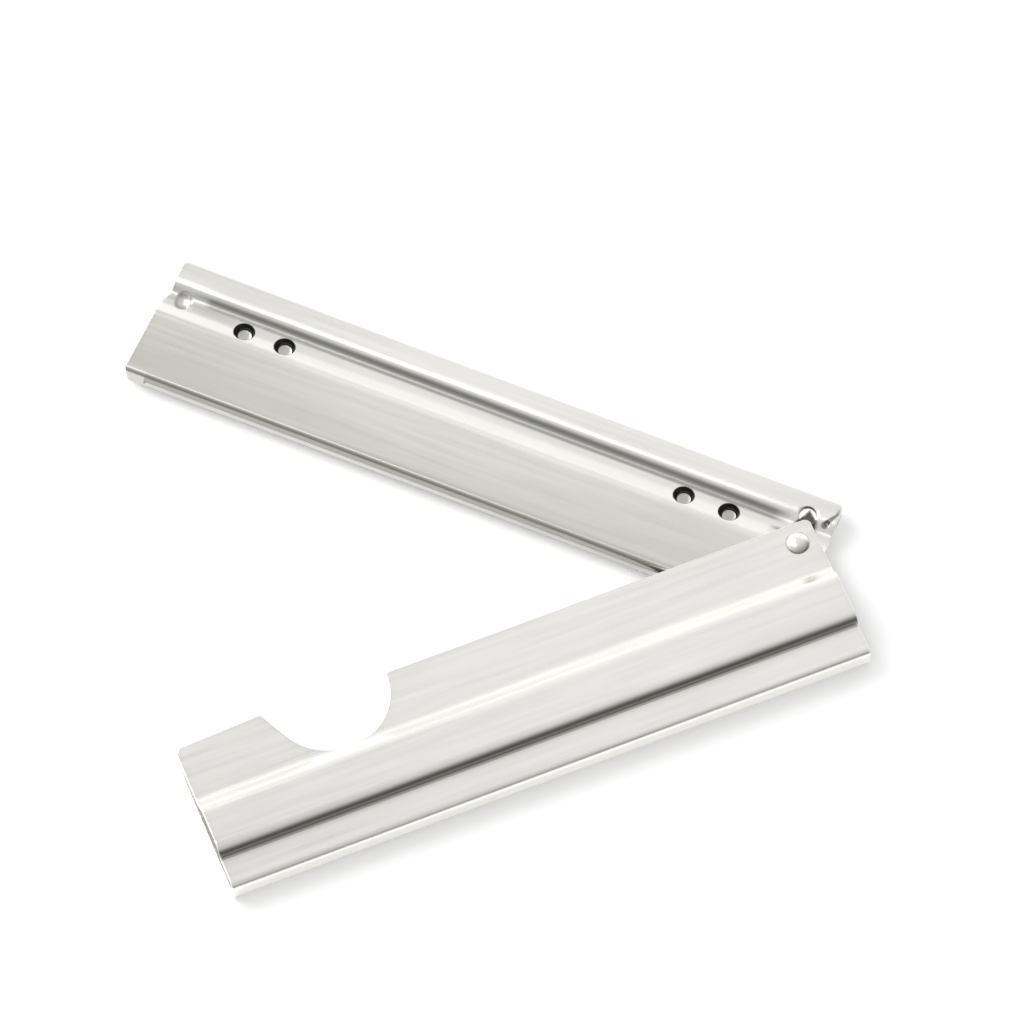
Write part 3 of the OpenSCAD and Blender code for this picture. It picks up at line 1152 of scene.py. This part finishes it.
@dataclass
class BladeHolder:
    """The arm: one sheet folded along its back, clinched along a groove, clamping the blade."""

    pivot: Pivot
    reach: float = 113.7
    tail: float = 4.3
    sheet: float = 0.6
    low: float = 1.0
    top: float = 3.8
    shoulder: float = 4.35
    wall_foot: float = 5.85
    floor_end: float = 8.3
    floor_rise: float = 0.5
    ramp_top: float = 10.7
    flange_end: float = 22.15
    lower_end: float = 21.8
    lip_degrees: float = 74.0
    tight_bend: float = 0.8
    lip_bend: float = 0.8
    wall_rounds: Span = (2.2, 1.9)
    gentle_shift: Span = (-0.55, 0.5)
    gentle_rounds: Span = (3.4, 2.4)
    gentle_free: Span = (-109.5, -103.5)
    gentle_near: Span = (-9.0, -1.5)
    slope_rounds: Span = (3.0, 1.2)
    crevice: float = 0.1
    blade_top: float = 2.1
    end_lip: float = 3.4
    bead_setback: float = 1.3
    slant: float = 0.6
    bead_corner: float = 1.8
    flange_corner: float = 1.6
    front: float = 23.2
    rim_round: float = 0.12
    rim_wear: float = 0.2
    bore: float = 1.3
    seat: float = 3.3
    seat_blend: float = 0.35
    thinnest: float = 0.12
    pit_floor_sheet: float = 0.18
    rail: float = 1.3
    lip_rail: float = 21.0
    lower_dull: float = 0.4
    # Darkening toward the free end, left off on the slope
    worn_soil: float = 0.22
    worn_span: Span = (-116.0, -60.0)
    clean_slope: tuple[Span, Span] = ((8.3, 8.9), (10.2, 10.8))
    pit_b: float = 8.4
    pit_x: tuple[float, ...] = (-98.3, -91.1, -20.6, -12.7)
    pit_warp: Span = (2.8, 2.1)
    bore_warp: Span = (3.2, 1.6)
    relief_warp: Span = (1.8, 1.54)
    end_fades: Span = (6.0, 2.5)
    lip_gap: float = 0.05
    lip_step: float = 0.1
    # Places of the painted shadow tent below the relief and the painted shade wedge near the end
    tent_peak: float = 3.1
    tent_slopes: Span = (-1.6, 0.8)
    wedge_start: Span = (-0.35, 2.5)
    wedge_run: Span = (-1.4, 2.3)

    def __post_init__(self) -> None:
        """Works out the levels of the folded sheet and places the hollows."""
        self.groove = self.low + 2 * self.sheet + self.crevice
        self.mid_top = self.top - self.sheet / 2
        self.mid_low = self.low + self.sheet / 2
        self.pits = [Pit(x, self.pit_b) for x in self.pit_x]
        self.pocket = Scoop(-109.9, 6.9, self.groove - 0.5, 1.7)
        self.relief = Relief(-0.6, 4.4, self.groove + 0.1, 3.4, 1.4)
        self.near_scoop = Scoop(self.tail - 1.5, 4.6, self.groove + 0.7, 0.5)
        self.bore_rings = np.array([self.bore, 1.33, 1.38, 1.5, 1.8, 2.2, 2.7, 3.2])
        self.pit_rings = np.array(
            [0.0, 0.6, 1.02, 1.12, 1.2, 1.35, 1.54, 1.67, 1.73, 1.78, 1.84, 1.9, 2.03, 2.35, 2.8]
        )
        self.relief_rings = np.array(
            [0.0, 0.35, 0.7, 0.95, 1.14, 1.22, 1.29, 1.35, 1.38, 1.42, 1.45, 1.51, 1.62, 1.8]
        )

    def _top_line(self, shift: Span, rounds: Span) -> FoldedLine:
        """Middle line of the upper leaf over b, from the bead to the flange.

        Args:
            shift: how far the bead's shoulder and its wall's foot are moved over b.
            rounds: radii of the shoulder and of the wall's foot.

        Returns:
            The line.
        """
        mid_floor = self.groove - self.sheet / 2
        corners = (
            (0.0, self.mid_top),
            (self.shoulder + shift[0], self.mid_top),
            (self.wall_foot + shift[1], mid_floor),
            (self.floor_end, mid_floor + self.floor_rise),
            (self.ramp_top, self.mid_top),
            (self.flange_end, self.mid_top),
        )
        return FoldedLine(corners, (*rounds, *self.slope_rounds), step_degrees=1.0)

    def _upper_leaf(self, x: Array, b: Array) -> Surface:
        """Middle surface of the upper leaf: the bead's wall is gentler near both ends.

        The height and the normal go from the plain line to the gentle one by the place along x.

        Args:
            x: place along the arm.
            b: distance from the back.

        Returns:
            The surface.
        """
        gentle = np.maximum(fade(*self.gentle_free, x), smooth_step(*self.gentle_near, x))
        plain_rows = self._top_line((0.0, 0.0), self.wall_rounds).over(b)
        gentle_rows = self._top_line(self.gentle_shift, self.gentle_rounds).over(b)
        rows = zip(plain_rows, gentle_rows)
        z, across, up = (first + (second - first) * gentle for first, second in rows)
        size = np.hypot(across, up)
        return Surface(x, b, z, across / size, up / size)

    def _back_line(self) -> FoldedLine:
        """Middle line round the folded back, from the lower leaf's rail to the bead's."""
        low, top, half = self.mid_low, self.mid_top, self.sheet / 2
        corners = ((self.rail, low), (half, low), (half, top), (self.rail, top))
        return FoldedLine(corners, (self.tight_bend, self.tight_bend), support=0.08)

    def _end_at(self, b: Array) -> Array:
        """x of the free end over b: the bead stands back, and both corners are round."""
        places = (self.wall_foot, self.floor_end, self.front)
        setback = np.interp(b, places, (self.bead_setback, self.slant, 0.0))
        corners = round_off(self.bead_corner, b) + round_off(self.flange_corner, self.front - b)
        return setback + corners - self.reach

    def _near_at(self, b: Array) -> Array:
        """x of the near end over b: the bead's corner is round."""
        return self.tail - round_off(self.bead_corner, b)

    def _stations(self) -> Array:
        """Places of the grid's lines along the arm, close at the ends and round each hollow.

        Returns:
            x of the lines, rising.
        """
        ends = rim_rings(self.rim_round)
        lip = self.end_lip - self.reach
        pits = [both_sides(pit.x, self.pit_rings) for pit in self.pits]
        relief = both_sides(self.relief.x, self.relief_rings)
        lip_end = np.array([lip - 0.02, lip + 0.02, lip + 0.12])
        main = np.concatenate([ends - self.reach, self.tail - ends, lip_end, *pits, relief])
        main = merged_lines(both_sides(0.0, self.bore_rings), main, 0.03)
        spans = ((-113.4, -104.4, 0.3), (-105.0, 3.0, 3.0), (2.2, 4.2, 0.12), (-3.4, 3.4, 0.35))
        return merged_lines(main, np.concatenate([np.arange(*span) for span in spans]), 0.07)

    def _leaf_lines(self) -> tuple[Array, Array]:
        """Places of the grid's lines over b, on the lower leaf and on the upper one.

        Returns:
            b of the lower leaf's lines toward the back, and of the upper leaf's away from it.
        """
        bore = both_sides(self.pivot.arm_back, self.bore_rings)
        by_pits = both_sides(self.pit_b, np.array([0.0, 1.0, 1.5, 1.84, 2.2]))
        low = np.concatenate([bore, self.lower_end - rim_rings(self.rim_round), [self.rail]])
        low = merged_lines(low, np.concatenate([by_pits, np.arange(2.0, 21.0, 2.4)]), 0.12)
        top = np.concatenate([bore, [self.rail, self.lip_rail]])
        top = merged_lines(both_sides(self.pit_b, self.pit_rings), top, 0.025)
        top = merged_lines(top, both_sides(self.relief.b, self.relief_rings), 0.05)
        flange = [13.5, 14.5, 16.0, 18.0, 19.5]
        bends = np.concatenate([np.arange(2.9, 6.0, 0.12), np.arange(6.1, 11.6, 0.22), flange])
        top = merged_lines(top, bends, 0.045)
        return low[::-1], top[(top >= self.rail) & (top <= self.lip_rail)]

    def _leaf_plan(self, stations: Array, lines: Array, *warps: RoundWarp) -> tuple[Array, Array]:
        """Plan of a leaf's grid, ringed round the pits, the bore and further centres.

        Args:
            stations: x of the grid's lines.
            lines: b of the grid's lines.
            warps: the further centres.

        Returns:
            x and b of the grid.
        """
        x, b = np.meshgrid(stations, lines, indexing="ij")
        pits = [RoundWarp(pit.x, pit.b, *self.pit_warp) for pit in self.pits]
        for warp in (*pits, RoundWarp(0.0, self.pivot.arm_back, *self.bore_warp), *warps):
            x, b = warp.apply(x, b)
        return x, b

    def _grid(self) -> tuple[Surface, Array, Array, Array]:
        """Works out the middle surface over the whole grid.

        The first and last rows are moved along x onto the outlines of the ends, and the move
        fades to nothing over a few millimetres.

        Returns:
            The surface, its distance from the sheet's edges, and which columns are the lower
            and the upper leaf.
        """
        stations = self._stations()
        low_lines, top_lines = self._leaf_lines()
        relief = RoundWarp(self.relief.x, self.relief.b, *self.relief_warp)
        lip, to_lip_end = self._lip(stations)
        parts = [
            Surface.spread(*self._leaf_plan(stations, low_lines), self.mid_low, 0.0, -1.0),
            Surface.folded(stations, self._back_line()),
            self._upper_leaf(*self._leaf_plan(stations, top_lines, relief)),
            lip,
        ]
        surface = Surface.joined(parts)
        part = np.repeat(np.arange(len(parts)), [piece.x.shape[1] for piece in parts])
        b = surface.side
        skin_b = b + surface.normal_side * self.sheet / 2
        end, near_end = self._end_at(skin_b), self._near_at(skin_b)
        at_end, by_tail = self.end_fades[0] - self.reach, self.tail - self.end_fades[1]
        x = surface.x + (end + self.reach) * fade(-self.reach, at_end, surface.x)
        x = x + (near_end - self.tail) * smooth_step(by_tail, self.tail, x)
        surface.x = x
        to_front = np.where(part == 0, self.lower_end - b, FAR)
        to_front[:, part == 3] = to_lip_end
        distance = np.minimum.reduce([x - end, near_end - x, to_front])
        return surface, distance, part == 0, part == 2

    def _lip(self, stations: Array) -> tuple[Surface, Array]:
        """Bend and lip in front of the flange, longer over the free corner.

        A point of the bend lies R * (sin t, cos t - 1) from its start, and the straight part's
        length goes from the blade's lip to the corner's within one short step.

        Args:
            stations: grid lines along the arm.

        Returns:
            The surface, and the distance left to the lip's end.
        """
        angle = math.radians(self.lip_degrees)
        across, down = math.cos(angle), math.sin(angle)
        drop = self.sheet / 2 * across
        on_blade = (self.mid_top - (self.blade_top + self.lip_gap + drop)) / down
        at_corner = (self.mid_top - (self.low + self.crevice + drop)) / down
        edge = self.end_lip - self.reach
        reach = self.lip_bend * math.tan(angle / 2)
        longer = fade(edge, edge + self.lip_step, stations[:, None])
        run = on_blade + (at_corner - on_blade) * longer - reach
        turn = np.linspace(0.0, angle, 9)
        bend_b = self.flange_end - reach + self.lip_bend * np.sin(turn)
        bend_z = self.mid_top - self.lip_bend * (1 - np.cos(turn))
        rings = rim_rings(self.rim_round, 0.08)[::-1]
        inner = np.linspace(0.25, 1.0, 4) * (run - rings[0])
        along = np.concatenate([inner, run - rings[1:]], axis=1)
        end_b, end_z = bend_b[-1] + along * across, bend_z[-1] - along * down
        bend = Surface.spread(stations[:, None], bend_b, bend_z, np.sin(turn), np.cos(turn))
        straight = Surface.spread(stations[:, None], end_b, end_z, down, across)
        left = np.concatenate([np.full(bend.x.shape, FAR), run - along], axis=1)
        return Surface.joined([bend, straight]), left

    def _press(self, x: Array, b: Array, z: Array) -> Array:
        """Height of the outer skin once pits, scoops and the rivet's seat are pressed in.

        It is the lowest of the plain skin and the hollows, raised to the top level on the seat.

        Args:
            x: place along the arm.
            b: distance from the back.
            z: height of the plain skin.

        Returns:
            The new height.
        """
        hollows = (*self.pits, self.pocket, self.relief, self.near_scoop)
        pressed = np.minimum.reduce([z, *(hollow.surface(x, b) for hollow in hollows)])
        from_rivet = np.hypot(x, b - self.pivot.arm_back)
        seat = fade(self.seat, self.seat + self.seat_blend, from_rivet)
        return pressed + np.maximum(self.top - pressed, 0.0) * seat

    def shell(self) -> Shell:
        """Works out both skins of the arm's sheet.

        The inner skin follows the outer at the sheet's thickness, and thins where a pit or
        scoop presses it on the lower leaf, as in a real clinch.

        Returns:
            The sheet as a shell.
        """
        surface, distance, lower, upper = self._grid()
        x, b = surface.x, surface.side
        from_rivet = np.where(lower | upper, np.hypot(x, b - self.pivot.arm_back), FAR)
        distance = np.minimum(distance, np.abs(from_rivet - self.bore))
        outer, inner = surface.skins(rim_height(self.sheet / 2, self.rim_round, distance))
        outer_b, outer_z, inner_z = outer[..., 1], outer[..., 2], inner[..., 2]
        pressed = self._press(x, outer_b, outer_z)
        rest = self.low + self.sheet + self.crevice / 2
        follow = np.maximum(inner_z + (pressed - outer_z), rest)
        follow = np.minimum(follow, pressed - self.thinnest)
        under_pits = np.minimum.reduce([pit.surface(x, b) for pit in self.pits])
        under_pits = np.maximum(under_pits - self.pit_floor_sheet, self.low + 0.08)
        under_pits = np.where(lower, np.minimum(inner_z, under_pits), inner_z)
        outer[..., 2] = np.where(upper, pressed, outer_z)
        inner[..., 2] = np.where(upper, follow, under_pits)
        values = {
            Attribute.RIM: np.exp(-distance / self.rim_wear),
            Attribute.SOIL: np.where(lower, 0.0, self._soil(x, outer_b)),
            Attribute.DULL: np.where(lower, self.lower_dull, self._dull(outer_b)),
        }
        keep = ~whole_cells(from_rivet < self.bore + HOLE_SLACK)
        return Shell(self.pivot.place(outer), self.pivot.place(inner), keep, values)

    def _dull(self, b: Array) -> Array:
        """Dulled flange over the blade: a quick rise past the slope, then a slow one."""
        turn = self.ramp_top + 1.1
        quick = smooth_step(self.ramp_top + 0.2, turn, b)
        return 0.65 * quick + 0.35 * smooth_step(turn, self.flange_end - 1.8, b)

    def _soil(self, x: Array, b: Array) -> Array:
        """Darkest of the arm's painted shade on its upper side and of the darkening at its free end.

        Args:
            x: place along the arm.
            b: distance from the back.

        Returns:
            From 0, unchanged, to 1, dark.
        """
        shade_bands = (
            # Painted shade in the crease at the bead wall's foot, on the groove's floor and its free
            # end
            ShadeBand(0.64, (4.65, 5.4), (6.4, 6.95), (-108.0, -105.0), (-6.0, -2.5)),
            ShadeBand(0.07, (5.2, 6.2), (7.0, 8.2)),
            ShadeBand(0.3, (6.2, 6.8), (7.9, 8.5), (-108.6, -107.6), (-104.0, -92.0)),
        )
        layers = [mark.soil(x, b) for mark in (*shade_bands, *self.pits)]
        # Darker toward the free end, left off on the slope
        fall_off = self.worn_soil * fade(*self.worn_span, x) * (1.0 - between(*self.clean_slope, b))
        layers += [fall_off, *self._pocket_soil(x, b), *self._rivet_soil(x, b)]
        # Painted shade on the lip's bend and face, past the free corner
        past_corner = smooth_step(self.end_lip - self.reach, self.end_lip - self.reach + 0.4, x)
        lip = 0.32 * smooth_step(21.2, 21.8, b) + 0.23 * smooth_step(22.2, 22.6, b)
        return np.maximum.reduce([*layers, lip * past_corner])

    def _pocket_soil(self, x: Array, b: Array) -> list[Array]:
        """Painted shade round the free end's pocket, left off a lobe in its middle.

        Args:
            x: place along the arm.
            b: distance from the back.

        Returns:
            A painted shade crescent on the pocket's wall, and painted shade on the groove's end round
            it.
        """
        # Painted shade crescent on the pocket's far wall
        crescent = 0.6 * ridge(1.35, 0.28, self.pocket.distance(x, b)) * fade(7.2, 8.2, b)
        crescent = crescent * smooth_step(0.2, 1.0, x - self.pocket.x)
        lobe = ridge(self.pocket.x + 0.2, 0.9, x) * ridge(self.pocket.b - 0.3, 1.1, b)
        # Painted shade over the groove's end round the pocket
        zone = ShadeBand(0.36, (4.6, 5.2), (7.0, 7.8), x_fall=(-104.5, -101.5))
        return [crescent, zone.soil(x, b) * (1.0 - lobe)]

    def _rivet_soil(self, x: Array, b: Array) -> list[Array]:
        """Painted shadow and shade beside the rivet.

        The tent's sides are straight lines from its peak, and the wedge lies round a straight
        line that it widens along.

        Args:
            x: place along the arm.
            b: distance from the back.

        Returns:
            Painted shade: a tent below the relief, an arc on its wall, a wedge near the end.
        """
        beside = x - self.relief.x
        left, right = self.tent_slopes
        inside = b - self.tent_peak - np.where(beside < 0.0, left * beside, right * beside)
        # Painted shadow and dark reflection of the handle's corner in the groove
        tent = smooth_step(0.0, 0.4, inside) * fade(8.0, 9.0, b) * fade(1.4, 2.4, beside)
        # Painted shade arc on the relief's upper wall
        arc = 0.85 * ridge(1.44, 0.13, self.relief.distance(x, b)) * fade(3.1, 3.7, b)
        # Painted shade wedge at the bead's near end
        (start_x, start_b), (run_x, run_b) = self.wedge_start, self.wedge_run
        share = np.clip((b - start_b) / run_b, 0.0, 1.0)
        off = np.hypot(x - (self.tail + start_x + run_x * share), b - (start_b + run_b * share))
        wedge = 0.75 * fade(0.12 + 0.35 * share, 0.3 + 0.4 * share, off)
        return [tent, arc, wedge]

    def build(self) -> bpy.types.Object:
        """Makes the arm's mesh and dresses it.

        Returns:
            The arm.
        """
        finish = SteelFinish("arm_brushed_steel", self.pivot.turn_degrees)
        piece = self.shell().make("blade_arm_sheet")
        return dress(piece, finish, "blade_holder", Body.ARM)


@dataclass
class ScraperBlade:
    """The straight blade, ground to an edge along its front."""

    pivot: Pivot
    start: float = -110.25
    length: float = 100.0
    rear: float = 10.6
    edge: float = 23.3
    low: float = 1.6
    thickness: float = 0.5
    bevel: float = 1.0
    land: float = 0.06
    broken: float = 0.04

    def profile(self) -> Array:
        """Closed section of the blade, rows of b and z, with its corners broken."""
        low, high, rear, edge = self.low, self.low + self.thickness, self.rear, self.edge
        e, shoulder, land = self.broken, self.edge - self.bevel, self.low + self.land
        return np.array([
            (rear + e, low), (rear, low + e), (rear, high - e), (rear + e, high), (rear + 1.0, high),
            (shoulder - 0.1, high), (shoulder, high - 0.004), (shoulder + 0.1, high - 0.05),
            (edge - 0.1, land + 0.05), (edge - 0.01, land), (edge, low + self.land / 2),
            (edge - 0.01, low), (edge - 0.4, low), (rear + 1.0, low),
        ])

    def build(self) -> bpy.types.Object:
        """Carries the section along the arm, closes its ends and dresses it.

        Near an end the section shrinks toward its middle by a small broken corner.

        Returns:
            The blade.
        """
        middle = np.array([(self.rear + self.edge) / 2, self.low + self.thickness / 2])
        offsets = np.array([0.0, 0.02, 0.06])
        x = np.concatenate([self.start + offsets, self.start + self.length - offsets[::-1]])
        inset = np.array([0.05, 0.02, 0.0, 0.0, 0.02, 0.05])
        scale = 1.0 - inset[:, None] / np.array([6.0, 0.25])
        sections = middle + (self.profile() - middle) * scale[:, None, :]
        rows, count = sections.shape[:2]
        along = np.broadcast_to(x[:, None, None], (rows, count, 1))
        points = np.concatenate([along, sections], axis=-1)
        caps = points[[0, -1]].mean(axis=1)
        rings = np.arange(rows * count).reshape(rows, count)
        poles = np.full((2, count), rows * count) + np.array([[0], [1]])
        quads = ring_quads(np.concatenate([poles[:1], rings, poles[1:]]))
        points = self.pivot.place(np.concatenate([points.reshape(-1, 3), caps]))
        piece = make_mesh("blade_ground", points, quads)
        finish = SteelFinish("blade_ground_steel", self.pivot.turn_degrees, (0.76, 0.755, 0.735))
        return dress(piece, finish, "scraper_blade", Body.ARM)


# Studio


def aimed(place: Vector, target: Vector) -> Euler:
    """Rotation of a camera or lamp that looks from its place at the target."""
    return (target - place).to_track_quat("-Z", "Y").to_euler()


def put(item: bpy.types.Object) -> bpy.types.Object:
    """Links a new object into the scene."""
    bpy.context.scene.collection.objects.link(item)
    return item


@dataclass(frozen=True)
class Softbox:
    """A rectangular soft lamp: millimetres right, away and up from the target, and its face.

    The face's size is in metres, and its radiance is how bright it looks, where 1 is white.
    """

    name: str
    place: tuple[float, float, float]
    size: Span
    radiance: float

    def make(self, place: Vector, target: Vector) -> None:
        """Adds the lamp. Its power is radiance * pi * area.

        Args:
            place: its place in metres.
            target: what it is aimed at, in metres.
        """
        data = bpy.data.lights.new(self.name, "AREA")
        data.shape = "RECTANGLE"
        data.size, data.size_y = self.size
        data.energy = self.radiance * math.pi * self.size[0] * self.size[1]
        light = put(bpy.data.objects.new(self.name, data))
        light.location = place
        light.rotation_euler = aimed(place, target)


@dataclass
class Studio:
    """Table, soft light and camera.

    The sky is a list of stops: the height angle from the backdrop over the top to the camera's
    side, as a share of half a turn, and the brightness there.
    """

    look_at: tuple[float, float, float] = (11.76, 34.04, 0.0)
    heading_degrees: float = 22.05
    elevation: float = 64.0
    distance: float = 1387.3
    lens: float = 300.0
    sky: tuple[Span, ...] = (
        (0.0, 1.18), (0.13, 1.02), (0.24, 0.82), (0.36, 0.77), (0.5, 0.77), (0.71, 0.6),
        (0.8, 0.42), (0.89, 0.28), (1.0, 0.24),
    )
    side_sky: Span = (0.95, 0.4)
    table_reach: float = 5000.0
    table_level: float = -0.02
    table_tone: Color = (0.97, 0.97, 0.97)
    table_lift: float = 0.17
    gloss_lift: float = 0.3
    softboxes: tuple[Softbox, ...] = (
        Softbox("key_softbox", (-744.0, 480.0, 804.0), (0.8, 0.8), 3.3),
        Softbox("top_softbox", (-300.0, -60.0, 860.0), (0.22, 0.3), 1.9),
    )

    def _axes(self) -> tuple[Vector, Vector]:
        """Level directions away from the camera and to its right."""
        heading = math.radians(self.heading_degrees)
        away = Vector((math.sin(heading), math.cos(heading), 0.0))
        return away, Vector((away.y, -away.x, 0.0))

    def _from_target(self, right: float, away: float, up: float) -> Vector:
        """Place in metres from millimetres to the right, away from the camera and up."""
        level_away, level_right = self._axes()
        place = Vector(self.look_at) + level_right * right + level_away * away
        return (place + Vector((0.0, 0.0, up))) * MM

    def camera(self) -> None:
        """Sets the camera at the photograph's angle."""
        up = math.radians(self.elevation)
        data = bpy.data.cameras.new("view")
        data.lens = self.lens
        data.sensor_width = 36.0
        data.clip_start = 0.01
        data.clip_end = 50.0
        camera = put(bpy.data.objects.new("view", data))
        back, height = self.distance * math.cos(up), self.distance * math.sin(up)
        camera.location = self._from_target(0.0, -back, height)
        camera.rotation_euler = aimed(camera.location, self._from_target(0.0, 0.0, 0.0))
        bpy.context.scene.camera = camera

    def table(self) -> None:
        """Makes the pale table. Its own tone is lifted to white for the camera and in gloss."""
        side = self.table_reach * MM
        corners = ((-side, -side), (side, -side), (side, side), (-side, side))
        mesh = bpy.data.meshes.new("table_top")
        mesh.from_pydata([(*corner, self.table_level * MM) for corner in corners], [], [(0, 1, 2, 3)])
        put(bpy.data.objects.new("table_top", mesh))
        material = bpy.data.materials.new("table_white")
        tree = Tree(material)
        rays = tree.add("LightPath").outputs
        seen = tree.math("MULTIPLY", rays["Is Camera Ray"], self.table_lift)
        gloss = tree.math("MULTIPLY", rays["Is Glossy Ray"], self.gloss_lift)
        glow = tree.add("Emission", {"Strength": tree.math("MAXIMUM", seen, gloss)})
        top = tree.add("BsdfPrincipled", {"Base Color": self.table_tone, "Roughness": 0.4})
        both = tree.add("AddShader", {0: top.outputs["BSDF"], 1: glow.outputs["Emission"]})
        tree.add("OutputMaterial", {"Surface": both.outputs["Shader"]})
        mesh.materials.append(material)

    def _sky_level(self, tree: Tree) -> Socket:
        """Brightness of the sky by direction, from the backdrop over the top to the camera's side.

        With a the height angle in the camera's upright plane, atan2(up, away) / pi, the sky
        follows a curve of a, and fades to one level far to the left and right.

        Args:
            tree: nodes of the world.

        Returns:
            The brightness.
        """
        rotation = (0.0, 0.0, math.radians(self.heading_degrees))
        place = tree.add("TexCoord").outputs["Generated"]
        turned = tree.add("Mapping", {"Vector": place, "Rotation": rotation}, vector_type="POINT")
        right, away, up = tree.add("SeparateXYZ", {"Vector": turned.outputs["Vector"]}).outputs
        height = tree.math("ARCTAN2", tree.math("MAXIMUM", up, 0.0), away)
        curve = tree.add("ValToRGB", {"Fac": tree.math("DIVIDE", height, math.pi)})
        stops = curve.color_ramp.elements
        for at, _ in self.sky[1:-1]:
            stops.new(at)
        for stop, (_, level) in zip(stops, self.sky):
            stop.color = (level, level, level, 1.0)
        side = tree.ramp(tree.math("ABSOLUTE", right, 0.0), (0.75, 0.97), (0.0, 1.0))
        kept = tree.math("MULTIPLY", curve.outputs["Color"], tree.math("SUBTRACT", 1.0, side))
        far = tree.ramp(right, (-0.5, 0.5), self.side_sky)
        return tree.math("ADD", kept, tree.math("MULTIPLY", side, far))

    def lights(self) -> None:
        """Adds the graded sky, the soft key light at the upper left and a small one overhead."""
        world = bpy.data.worlds.new("studio")
        bpy.context.scene.world = world
        tree = Tree(world)
        seen = tree.add("LightPath").outputs["Is Camera Ray"]
        level = tree.math("MULTIPLY", self._sky_level(tree), tree.math("SUBTRACT", 1.0, seen))
        inputs = {"Color": (1.0, 1.0, 1.0), "Strength": tree.math("ADD", level, seen)}
        sky = tree.add("Background", inputs)
        tree.add("OutputWorld", {"Surface": sky.outputs["Background"]})
        for lamp in self.softboxes:
            lamp.make(self._from_target(*lamp.place), self._from_target(0.0, 0.0, 0.0))

    def build(self) -> None:
        """Makes the whole studio."""
        self.camera()
        self.table()
        self.lights()


def main() -> None:
    """Loads the frame, builds each piece over it and sets the studio."""
    logging.basicConfig(level=logging.INFO, format="%(message)s")
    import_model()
    bpy.context.scene.view_settings.view_transform = "Standard"
    pivot = Pivot()
    HandleCover(pivot).build()
    PivotRivet(pivot).build()
    Washer(pivot, "upper_washer", 3.85).build()
    Washer(pivot, "lower_washer", 0.8).build()
    BladeHolder(pivot).build()
    ScraperBlade(pivot).build()
    Studio().build()
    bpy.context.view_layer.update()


if __name__ == "__main__":
    main()
